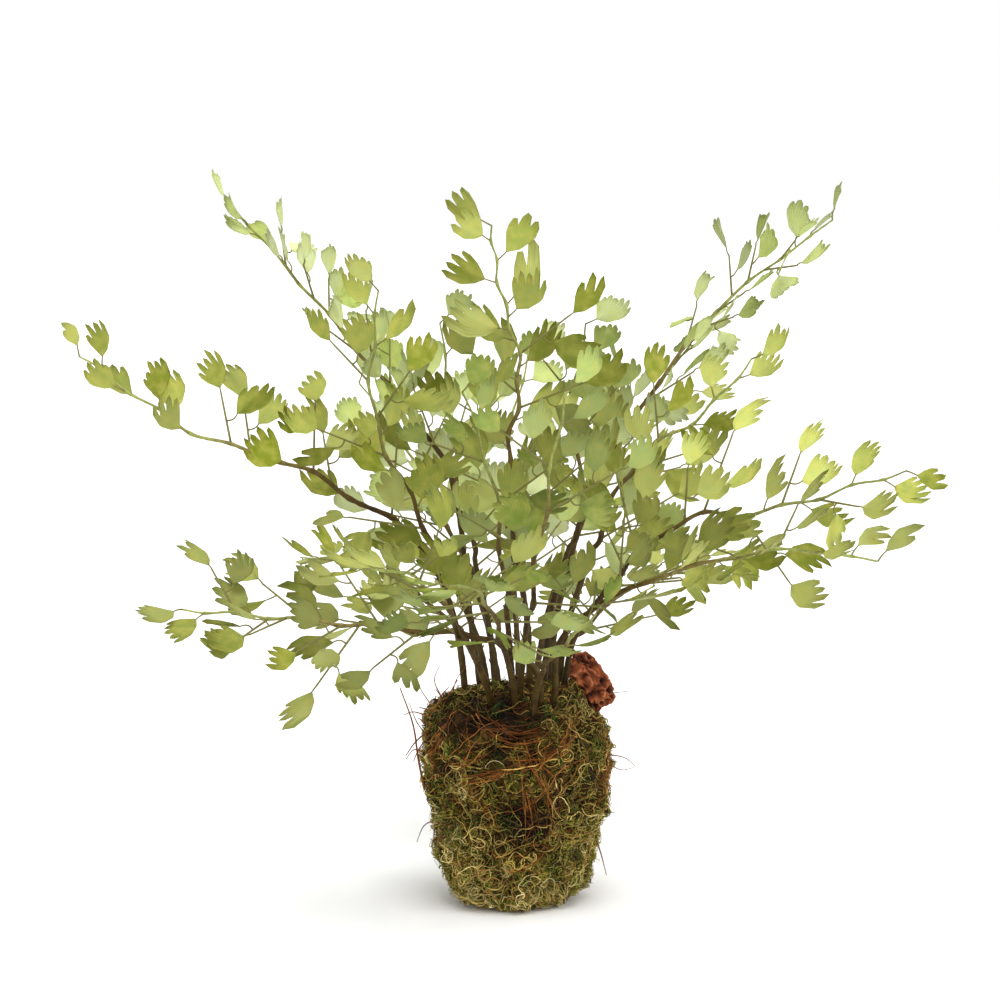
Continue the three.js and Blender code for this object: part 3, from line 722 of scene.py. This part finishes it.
def leavesOf(plan, blade, seed):
    rng = np.random.default_rng(seed)
    tone = plan["tone"]
    leaflets = [dict(leaflet, spray=spray) for spray in blade for leaflet in spray["leaflets"]]
    counts = rng.choice(leafletShape["fingers"][tone], len(leaflets))
    parts = []
    for fingers in sorted(set(counts)):
        batch = [leaflet for leaflet, count in zip(leaflets, counts) if count == fingers]
        points, quads, uv = fanLeaflets(batch, int(fingers), tone, rng)
        spins = np.array([turnAbout((0, 0, 1), -leaflet["angle"]) for leaflet in batch])
        turns = np.array([leafletTurn(leaflet) for leaflet in batch]) @ spins
        flat = placeOnSpray(points, turns, np.array([leaflet["base"] for leaflet in batch]))
        bases = np.array([leaflet["spray"]["basis"] for leaflet in batch])
        world = placeOnSpray(flat, bases, np.array([leaflet["spray"]["origin"] for leaflet in batch]))
        each = world.shape[1]
        hue = np.repeat(rng.uniform(0, 1, len(batch)), each)
        # painted light and shade by height: higher leaflets lighter, lower ones darker, as light from above falls on
        # them
        height = (world[:, :, 2].mean(axis=1) - leafletShape["paintedLightFrom"]) / leafletShape["paintedLightOver"]
        paintedLightByHeight = leafletShape["paintedLight"] * np.clip(height, -1, 1)
        bright = np.repeat(rng.uniform(0, 1, len(batch)) - plan.get("paintedShade", 0) + paintedLightByHeight, each)
        tint = np.stack([hue, bright, hue * 0], axis=1)
        parts.append((world.reshape(-1, 3), [quads], tint, uv.reshape(-1, 2)))
    parts += [sprayStalks(spray) for spray in blade]
    return joined(parts)


sprayStalkShape = {"petiole": (0.37, 0.28), "branch": (0.52, 0.38), "sides": 5, "steps": 8, "sag": 0.9, "arch": 0.5}


def sprayStalks(spray):  # the branch of a spray, and each leaflet's petiole, as thin tubes
    shape = sprayStalkShape
    steps = np.linspace(0, 1, shape["steps"])[:, None]
    paths, radii = [], []
    last = spray["leaflets"][-1]
    for leaflet in spray["leaflets"]:
        way = leafletTurn(leaflet) @ np.array([math.sin(leaflet["angle"]), math.cos(leaflet["angle"]), 0])
        reach = leaflet["petiole"] + 0.5
        down = np.array([leaflet["hand"] * 0.5, -abs(leaflet["hand"]), 0]) * shape["sag"]
        bow = (down + np.array([0, 0, shape["arch"]])) * np.sin(steps * math.pi) * min(reach / 4, 1)
        paths.append(leaflet["base"] + way * steps * reach + bow)
        radii.append(mix(*shape["petiole"], steps[:, 0]))
    if len(spray["leaflets"]) > 1:
        paths.append(np.array([0, 1, 0]) * mix(-sprayRule["sink"], last["base"][1], steps))
        radii.append(mix(*shape["branch"], steps[:, 0]))
    points, faces = tubes(np.array(paths), np.array(radii), shape["sides"])
    world = points @ spray["basis"].T + spray["origin"]
    tint = np.tile([0.5, 0.5, 1.0], (len(world), 1))
    return world, faces, tint, np.zeros((len(world), 2))


stemLook = {
    "brown": "#3a2b10", "bark": "#5b4a20", "turning": "#756739", "green": "#8b914e",
    "spacing": 1.4, "sides": 10, "knot": 0.3, "tip": 0.36, "roughness": 0.55,
    "turn": (0.12, 0.6),  # where brown turns to green, as shares of the stem above its first spray
    "streaks": 420.0, "patches": 90.0,  # for each metre
    "rough": (0.07, 6), "pitted": (0.06, 1.6),  # share of the radius or mm, and the wavelength in mm
    "stubs": 9, "stubLength": (0.9, 2.2), "stubRadii": (0.5, 0.36, 0.3, 0.14),
}


def stemMaterial():
    # tint: red runs from brown to green, green is the brightness
    look = stemLook
    material, tree = newMaterial("stemBark")
    ripe, bright, _ = tintOf(tree)[:3]
    streak = useGroup(tree, patches, Scale=look["streaks"], Detail=5.0, Low=0.3, High=0.7)
    broad = useGroup(tree, patches, Scale=look["patches"], Detail=3.0, Low=0.35, High=0.65)
    stops = [(0.0, look["brown"]), (0.35, look["bark"]), (0.65, look["turning"]), (1.0, look["green"])]
    body = ramp(tree, math2(tree, "ADD", ripe, math2(tree, "MULTIPLY", broad, 0.18)), stops)
    body = useGroup(tree, shade, Colour=body, Value=streak, Amount=0.3)
    body = useGroup(tree, shade, Colour=body, Value=bright, Amount=0.15)
    skin = skinOf(tree, body, bump(tree, streak, 0.5, 0.0003), look["roughness"], specular=0.15)
    addNode(tree, "ShaderNodeOutputMaterial", Surface=skin)
    return material


def stemTube(stem, seed):
    # A tube along the stem. Its radius falls from root to tip, swells a little at the knots and is rough all over.
    rng = np.random.default_rng(seed)
    lower = stem["at"](np.linspace(0, stem["split"], 6))
    line = np.vstack([lower, [knot["point"] for knot in stem["knots"]], stem["at"](1.0)])
    at, _, length = smoothStem(line)
    share = np.linspace(0, 1, max(int(length / stemLook["spacing"]), 12))
    path = at(share)
    above = np.clip((share - stem["split"]) / (1 - stem["split"]), 0, 1)
    radius = np.where(share < stem["split"], mix(stalk["base"], stalk["neck"], share / stem["split"]),
                      mix(stalk["neck"], stemLook["tip"], above))
    for knot in stem["knots"]:
        near = np.linalg.norm(path - knot["point"], axis=1)
        radius = radius + stemLook["knot"] * np.exp(-(near / 1.5) ** 2)
    sides, (bumpy, wave), (deep, short) = stemLook["sides"], stemLook["rough"], stemLook["pitted"]
    radius = radius * (1 + bumpy * ripples(path, wave, seed))
    points, faces = tubes(path[None], radius[None], sides)
    out = unit(points - np.repeat(path, sides, 0))
    points = points + deep * ripples(points, short, seed + 1)[:, None] * out
    ripe = np.clip((above - stemLook["turn"][0]) / (stemLook["turn"][1]), 0, 1)
    tint = np.stack([np.repeat(ripe, sides), np.full(len(points), rng.uniform()), np.zeros(len(points))], 1)
    stubs = stubsOn(at, stem, radius, share, rng)
    return joined([(points, faces, tint, np.zeros((len(points), 2))), stubs])


def stubsOn(at, stem, radius, share, rng):  # the short broken ends of old leaf stalks on the brown stem
    n = stemLook["stubs"]
    where = rng.uniform(0.12, max(stem["split"], 0.2), n)
    foot = at(where)
    along = unit(at(where + 0.01) - foot)
    out = unit(np.cross(along, rng.normal(size=(n, 3))))
    reach = rng.uniform(*stemLook["stubLength"], n)[:, None, None]
    steps = np.linspace(0, 1, 4)[None, :, None]
    way = out[:, None] + along[:, None] * steps * 1.2
    seat = foot[:, None] + out[:, None] * np.interp(where, share, radius)[:, None, None] * 0.6
    paths = seat + way * reach * steps
    radii = np.tile(np.array(stemLook["stubRadii"]), (n, 1))
    points, faces = tubes(paths, radii, 5)
    tint = np.tile([0.1, 0.3, 0.0], (len(points), 1))
    return points, faces, tint, np.zeros((len(points), 2))


def buildFronds():
    bark = stemMaterial()
    skins = {tone: leafMaterial(tone) for tone in ("olive", "fresh", "pale")}
    for i, (plan, stem, blade) in enumerate(zip(fronds, stems, blades)):
        name, tone = plan["name"], plan["tone"]
        addPiece("stem_" + name, stemTube(stem, 100 + i)[:3], bark, ["stalk_" + name])
        leaves = leavesOf(plan, blade, 200 + i)
        addPiece("leaves_" + name, leaves, skins[tone], ["frond_" + name])


buildFronds()
print("fronds built")

# Root ball.

ballShape = {
    "profile": ((0, 0), (18, 0), (23.5, 2.5), (27.5, 7), (31, 15), (33, 30), (35.5, 43), (37.5, 55), (37.5, 69),
                (34, 78), (25, 85), (0, 88)),
    "waves": ((1, 12.7, 4.32, 0.03), (3, 13, 0.4, 0.014), (5, -9, 2.1, 0.018), (8, 6, 4.4, 0.014)),
    "columns": 280, "rows": 190,
    "lumps": ((21, 1.0), (11, 1.4), (5, 1.0), (2.2, 0.4)),  # wavelength and height of each layer of lumps
    "darkens": 0.0045,  # how much darker the fibres get for each mm up the ball
    "sunk": 1.7,  # how far the peat lies under the moss, on average
    "bare": (((2, -37, 36), 12), ((-7, -28, 82), 13), ((-10, 34, 58), 7)),  # place and width, where little moss grows
    "mounds": (((20, -4, 86), 7.5, 6.0), ((-27, -6, 80), 8.0, 2.5), ((8, 24, 84), 10.0, 3.0)),  # place, width, height
}


def roundedProfile(corners, passes=3):  # each corner cut at its quarter points, a few times over
    line = np.array(corners, dtype=float)
    for _ in range(passes):
        near = line[:-1] * 0.75 + line[1:] * 0.25
        far = line[:-1] * 0.25 + line[1:] * 0.75
        line = np.vstack([line[:1], np.stack([near, far], axis=1).reshape(-1, 2), line[-1:]])
    return line


profile = roundedProfile(ballShape["profile"])
profileAt = np.concatenate([[0], np.cumsum(np.linalg.norm(np.diff(profile, axis=0), axis=1))])


def ballPoint(turn, rise, proud=0.0):
    # A point on the ball at an angle round it and a distance up its profile from the middle of its base, standing
    # proud of its lumpy surface. The profile is turned round, swollen by waves, and pushed in and out by the lumps.
    r = np.interp(rise, profileAt, profile[:, 0])
    z = np.interp(rise, profileAt, profile[:, 1])
    waves = [share * np.sin(count * turn + z / climb + phase) for count, climb, phase, share in ballShape["waves"]]
    swell = 1 + sum(waves)
    step = 1.5
    dr = np.interp(rise + step, profileAt, profile[:, 0]) - np.interp(rise - step, profileAt, profile[:, 0])
    dz = np.interp(rise + step, profileAt, profile[:, 1]) - np.interp(rise - step, profileAt, profile[:, 1])
    slope = np.hypot(dr, dz) + 1e-6
    outward = np.stack([np.cos(turn) * dz / slope, np.sin(turn) * dz / slope, -dr / slope], axis=-1)
    point = np.stack([r * swell * np.cos(turn), r * swell * np.sin(turn), z], axis=-1)
    lump = sum(height * ripples(point, wave, 11 + i) for i, (wave, height) in enumerate(ballShape["lumps"]))
    for place, width, height in ballShape["mounds"]:
        lump = lump + height * np.exp(-(np.linalg.norm(point - place, axis=-1) / width) ** 2)
    point = point + outward * (lump - ballShape["sunk"] + proud)[..., None]
    point[..., 2] = np.maximum(point[..., 2], 0.0)
    return point


def bareness(points):  # 1 in the middle of a bare patch, falling off as a bell
    gaps = [np.linalg.norm(points - place, axis=-1) / width for place, width in ballShape["bare"]]
    return sum(np.exp(-gap**2) for gap in gaps)


def buildCore():
    turn = np.linspace(0, 2 * math.pi, ballShape["columns"], endpoint=False)
    rise = np.linspace(1.0, profileAt[-1] - 1.0, ballShape["rows"])
    rings = ballPoint(turn[None, :], rise[:, None] + 0 * turn[None, :])
    points, faces = shell(rings, [0, 0, 0], [0, 0, rings[-1, :, 2].mean()])
    mossy = ripples(points, 15, 31) * 0.5 + 0.5 - 0.6 * bareness(points)
    tint = np.stack([mossy, ripples(points, 4, 32) * 0.5 + 0.5, points[:, 0] * 0], 1)
    stops = [(0.0, "#1c1108"), (0.45, "#3a2610"), (0.75, "#53411a"), (1.0, "#5e5620")]
    material = fibreMaterial("peatAndMoss", stops, 0.95, 500.0)
    addPiece("rootBallCore", (points, faces, np.clip(tint, 0, 1)), material, ["root_ball"])


# Fibres on the ball: steps along each, its length, radius and height above the peat, how it lifts towards its end,
# how it curls (turns for each mm) and wanders, and the wavelength of its patches with the share of them it grows in.
fibreLooks = {
    "mossTufts": dict(
        count=8800, steps=4, length=(2.2, 6.5), radius=(0.17, 0.32), proud=(0.0, 0.6), lift=(0.2, 1.7),
        curl=0.10, wander=0.7, seed=1, patch=12, grows=0.62, low=1.0, shuns=2.2,
        stops=((0.0, "#3d3310"), (0.3, "#6d6422"), (0.6, "#8f8632"), (0.85, "#a79a3e"), (1.0, "#bbac54"))),
    "mossFluff": dict(
        count=8200, steps=4, length=(1.5, 4.2), radius=(0.13, 0.24), proud=(0.2, 1.1), lift=(0.4, 1.7),
        curl=0.16, wander=1.2, seed=2, patch=16, grows=0.52, low=1.2, shuns=2.2,
        stops=((0.0, "#41501c"), (0.3, "#757526"), (0.6, "#a39a42"), (1.0, "#c6b765"))),
    "greenMoss": dict(
        count=2600, steps=4, length=(1.5, 4.5), radius=(0.16, 0.28), proud=(0.4, 1.3), lift=(0.4, 1.6),
        curl=0.12, wander=1.0, seed=6, patch=13, grows=0.22,
        stops=((0.0, "#20340f"), (0.5, "#3f5c1d"), (1.0, "#6b7f2c"))),
    "goldenCurls": dict(
        count=620, steps=18, length=(7, 24), radius=(0.16, 0.3), proud=(0.9, 2.0), lift=(0.3, 2.2),
        curl=0.055, wander=0.9, seed=3, patch=11, grows=0.3, low=1.0, shuns=1.6,
        stops=((0.0, "#a2863c"), (0.5, "#ccb264"), (1.0, "#ecdca0"))),
    "strawThreads": dict(
        count=1250, steps=9, length=(5, 18), radius=(0.12, 0.22), proud=(0.6, 1.6), lift=(0.1, 1.6),
        curl=0.03, wander=1.0, seed=7, patch=15, grows=0.55, low=0.7, shuns=1.0,
        stops=((0.0, "#7a5c28"), (0.5, "#a88a45"), (1.0, "#cdb673"))),
    "rustThreads": dict(
        count=420, steps=9, length=(6, 20), radius=(0.14, 0.26), proud=(0.5, 1.7), lift=(0.0, 1.4),
        curl=0.012, wander=0.4, seed=4, patch=20, grows=0.45,
        stops=((0.0, "#4d2810"), (0.5, "#8a4c1d"), (1.0, "#b87a38"))),
    "darkRoots": dict(
        count=1900, steps=6, length=(4, 16), radius=(0.14, 0.3), proud=(0.2, 1.3), lift=(0.1, 1.8),
        curl=0.02, wander=0.8, seed=5, patch=14, grows=0.6, low=-1.4, shuns=-1.0,
        stops=((0.0, "#1d130a"), (0.6, "#3f2b14"), (1.0, "#644723"))),
}


def heightToRise(z):
    side = profile[:, 1].argsort(kind="stable")
    return np.interp(z, profile[side, 1], profileAt[side])


def fibrePaths(look, rng, turn, rise, heading):
    # Each fibre walks over the ball in even steps. Its heading starts as given and turns steadily with its curl, and
    # its height above the surface climbs from proud by lift towards its end.
    n, steps = len(turn), look["steps"]
    reach = rng.uniform(*look["length"], n)[:, None]
    t = np.linspace(0, 1, steps)[None, :]
    curl = rng.normal(0, look["curl"], n)[:, None] * 2 * math.pi
    bearing = heading[:, None] + curl * reach * t + look["wander"] * 0.4 * np.sin(t * rng.uniform(3, 8, (n, 1)))
    stepLength = reach / (steps - 1)
    level = np.cumsum(np.cos(bearing) * stepLength, axis=1)
    climb = np.cumsum(np.sin(bearing) * stepLength, axis=1)
    girth = np.maximum(np.interp(rise, profileAt, profile[:, 0]), 8)[:, None]
    proud = rng.uniform(*look["proud"], n)[:, None] + rng.uniform(*look["lift"], n)[:, None] * t**1.5
    proud = proud + 0.35 * np.sin(t * 9 + rng.uniform(0, 6, (n, 1)))
    walk = np.clip(rise[:, None] + climb, 14, profileAt[-1] - 2)
    paths = ballPoint(turn[:, None] + level / girth, walk, proud)
    paths[..., 2] = np.maximum(paths[..., 2], 0.35)
    return paths


def fibreShape(look, paths, rng):  # three-sided tubes that thin out to their ends
    n, steps = paths.shape[:2]
    sides = 3
    taper = 1 - 0.65 * np.linspace(0, 1, steps)[None, :] ** 2
    points, faces = tubes(paths, rng.uniform(*look["radius"], n)[:, None] * taper, sides)
    foot = paths[:, 0]
    patch = ripples(foot, look["patch"] * 0.6, look["seed"] + 50) * 0.3 + 0.68
    patch = patch - ballShape["darkens"] * foot[:, 2] - 0.3 * bareness(foot)
    pick = np.clip(patch + rng.normal(0, 0.17, n), 0, 1)
    # painted shade: fibres in the hollows between the lumps are darker, those on the lumps lighter
    paintedHollowShade = sum(0.3 * ripples(foot, ballShape["lumps"][i][0], 11 + i) for i in (1, 2))
    bright = np.clip(0.5 + paintedHollowShade + rng.normal(0, 0.2, n), 0, 1)
    tint = np.stack([pick, bright, np.zeros(n)], axis=1)
    return points, faces, np.repeat(tint, steps * sides, axis=0)


def scattered(look, rng):
    # Starting places all over the ball, kept where the patches of this fibre are: the highest share of a slow ripple.
    n = look["count"]
    rise = rng.uniform(15, profileAt[-1] - 5, n * 5)
    turn = rng.uniform(0, 2 * math.pi, n * 5)
    spot = ballPoint(turn, rise)
    patch = ripples(spot, look["patch"], look["seed"] + 90) + rng.normal(0, 0.15, n * 5)
    patch = patch + look.get("low", 0) * (0.5 - spot[:, 2] / profile[-1, 1]) - look.get("shuns", 0) * bareness(spot)
    kept = np.flatnonzero(patch > np.quantile(patch, 1 - look["grows"]))[:n]
    return fibrePaths(look, rng, turn[kept], rise[kept], rng.uniform(0, 2 * math.pi, len(kept)))


# Bundles of coir: where each starts and ends, as an angle from the front and a height, its strands, how wide it
# spreads at its start and its end in mm, and how its middle bows down.
coirLook = {
    "steps": 14, "radius": (0.16, 0.3), "patch": 6, "seed": 8,
    "stops": ((0.0, "#5a3213"), (0.4, "#985a24"), (0.75, "#bd8037"), (1.0, "#d6a858")),
    "bundles": (
        ((-34, 54), (6, 64), 22, 3.0, 3.0, 1.0),
        ((0, 62), (46, 82), 20, 3.0, 5.0, 3.0),
        ((2, 62), (12, 34), 13, 2.5, 8.0, 0.0),
        ((8, 66), (30, 40), 12, 4.0, 9.0, 0.0),
        ((36, 64), (16, 46), 9, 5.0, 6.0, -2.0),
        ((-46, 62), (-16, 74), 14, 8.0, 8.0, 2.0),
        ((-24, 80), (28, 78), 24, 6.0, 6.0, 5.0),
        ((-50, 80), (-62, 56), 16, 6.0, 7.0, 0.0),
        ((-26, 26), (22, 28), 8, 6.0, 6.0, 4.0),
        ((120, 60), (170, 76), 26, 6.0, 6.0, 3.0),
        ((-130, 50), (-160, 80), 22, 6.0, 6.0, 0.0),
        ((150, 58), (138, 26), 20, 4.0, 8.0, 0.0),
        ((86, 72), (60, 40), 14, 4.0, 9.0, 0.0),
    ),
}


def coirPaths(look, rng):
    # From start to end in angle and height, each strand beside its bundle's line by a distance that fades from one
    # spread to the other, bowed by a sine along it.
    paths = []
    t = np.linspace(0, 1, look["steps"])[None, :]
    for (turnA, heightA), (turnB, heightB), n, spreadA, spreadB, bow in look["bundles"]:
        first, last = rng.uniform(-0.2, 0.5, (n, 1)), rng.uniform(0.6, 1.15, (n, 1))
        share = mix(first, last, t)
        up, aside = (mix(*rng.normal(0, 0.5, (2, n, 1)) * [[[spreadA]], [[spreadB]]], share) for _ in range(2))
        height = mix(heightA, heightB, share) - bow * np.sin(share * math.pi) * rng.uniform(0.3, 1.7, (n, 1)) + up
        height = height + 0.9 * np.sin(share * rng.uniform(3, 9, (n, 1)) + rng.uniform(0, 6, (n, 1)))
        turn = np.radians(mix(turnA, turnB, share) - 90) + aside * 0.028
        proud = rng.uniform(0.5, 2.4, (n, 1)) + 0.8 * np.sin(t * 7 + rng.uniform(0, 6, (n, 1)))
        paths.append(ballPoint(turn, heightToRise(np.clip(height, 2, 86)), proud))
    return np.concatenate(paths)


# Loose roots that stand off the ball, each through the points given, with a radius.
strayRoots = (
    (((-37, -10, 47), (-39.5, -11, 60), (-41.5, -12, 74), (-46.5, -14, 89)), 0.55),
    (((-36, -14, 70), (-40, -16, 76), (-43, -17, 84)), 0.32),
    (((-35, -16, 78), (-41, -17, 80), (-45, -18, 79)), 0.36),
    (((-36, -12, 62), (-41, -13, 64), (-44.5, -13, 60)), 0.34),
    (((-32, -8, 76), (-28, -9, 84), (-23.8, -9, 91.5)), 0.45),
    (((-34.5, -9, 77), (-30.5, -10, 84), (-32.5, -10, 88)), 0.42),
    (((-29, -10, 79), (-34, -11, 79.5), (-39, -12, 81)), 0.45),
    (((-33, -8, 71), (-36, -9, 74), (-39.5, -9, 76)), 0.42),
    (((-35, -8, 71), (-40.5, -9, 66.5), (-44.5, -10, 61)), 0.45),
    (((-34.5, -8, 69), (-39, -9, 64), (-41.5, -10, 58.5)), 0.4),
    (((-32, -9, 80), (-30, -10, 85.5), (-27, -10, 89)), 0.38),
    (((-34, -14, 82), (-38, -14, 88), (-40, -14, 93)), 0.28),
    (((-30, -8, 84), (-33, -8, 91), (-31, -8, 97)), 0.3),
    (((-26, -8, 85), (-24, -9, 92), (-20, -9, 97)), 0.28),
    (((37, -8, 61), (43, -9, 60), (47.5, -9, 56.5)), 0.3),
    (((37, -8, 57), (42, -9, 55), (47, -9, 56)), 0.26),
    (((32, -8, 26), (34, -9, 20), (36, -9, 12)), 0.34),
    (((31, -14, 83), (38, -12, 86.5), (44, -10, 87)), 0.3),
    (((20, 31, 74), (26, 36, 79), (27, 40, 86)), 0.3),
    (((-14, 35, 66), (-18, 40, 62), (-19, 43, 55)), 0.3),
    (((-33, 12, 30), (-38, 14, 27), (-41, 15, 20)), 0.3),
)


def strayShape():
    share = np.linspace(0, 1, 14)
    lines, radii = zip(*strayRoots)
    paths = np.stack([smoothStem(np.array(line, dtype=float))[0](share) for line in lines])
    points, faces = tubes(paths, np.array(radii)[:, None] * (1 - 0.55 * share), 5)
    return points, faces, np.tile([0.2, 0.4, 0.0], (len(points), 1))


def buildFibres():
    for name, look in fibreLooks.items():
        rng = np.random.default_rng(look["seed"])
        material = fibreMaterial(name, look["stops"], 0.8, 900.0, 0.55)
        addPiece(name, fibreShape(look, scattered(look, rng), rng), material)
    rng = np.random.default_rng(coirLook["seed"])
    coir = fibreMaterial("coir", coirLook["stops"], 0.6, 700.0)
    addPiece("coirBundles", fibreShape(coirLook, coirPaths(coirLook, rng), rng), coir)
    addPiece("strayRoots", strayShape(), coir)


buildCore()
buildFibres()
print("root ball built")

# Bark chip.

chipShape = {
    "size": (14.5, 10.5, 26), "centre": (28.2, 0, 90.2), "lean": -0.62, "boxy": 0.55, "columns": 150, "rows": 110,
    "cuts": 9, "cut": (0.66, 0.86),  # flat breaks, each at a share of the way out to the surface
    "rough": ((7, 1.2), (3.0, 1.1), (1.4, 0.55)), "stretch": (1.0, 1.0, 0.75),  # the grain runs the long way
    "stops": ((0.0, "#26110a"), (0.35, "#5f2d17"), (0.7, "#945030"), (1.0, "#c08c66")),
}


def buildChip():
    # A rounded block: sine and cosine of latitude and longitude raised to a power under 1, then pitted along its grain.
    look = chipShape

    def power(v):
        return np.sign(v) * np.abs(v) ** look["boxy"]

    lat = np.linspace(-math.pi / 2, math.pi / 2, look["rows"] + 2)[1:-1, None]
    lon = np.linspace(0, 2 * math.pi, look["columns"], endpoint=False)[None, :]
    half = np.array(look["size"]) / 2
    ring = np.stack([power(np.cos(lat)) * power(np.cos(lon)), power(np.cos(lat)) * power(np.sin(lon)),
                     power(np.sin(lat)) + 0 * lon], axis=-1)
    rings = np.concatenate([[[[0, 0, -1.0]] * look["columns"]], ring, [[[0, 0, 1.0]] * look["columns"]]])
    grain = rings * half * look["stretch"]
    pits = sum(height * -np.abs(ripples(grain, wave, 70 + i)) for i, (wave, height) in enumerate(look["rough"]))
    solid = rings * half
    rng = np.random.default_rng(79)
    for normal in unit(rng.normal(size=(look["cuts"], 3))):
        out = solid @ normal
        solid = solid - np.maximum(out - out.max() * rng.uniform(*look["cut"]), 0)[..., None] * normal
    rings = solid + unit(rings) * (pits + 1.0)[..., None]
    rings = rings @ turnAbout((0, 1, 0), look["lean"]).T + look["centre"]
    points, faces = shell(rings[1:-1], rings[0, 0], rings[-1, 0])
    depth = np.concatenate([pits[1:-1].ravel(), [pits[0, 0], pits[-1, 0]]])
    # painted shade in the pits: the deeper a pit, the darker the colour it picks on the ramp
    pick = np.clip(1.0 + depth * 0.45, 0, 1)
    tint = np.stack([pick, ripples(points, 5, 77) * 0.5 + 0.5, pick * 0], axis=1)
    material = fibreMaterial("barkChip", look["stops"], 0.9, 700.0)
    addPiece("barkChip", (points, faces, np.clip(tint, 0, 1)), material, ["bark_chip"])


buildChip()
print("bark chip built")
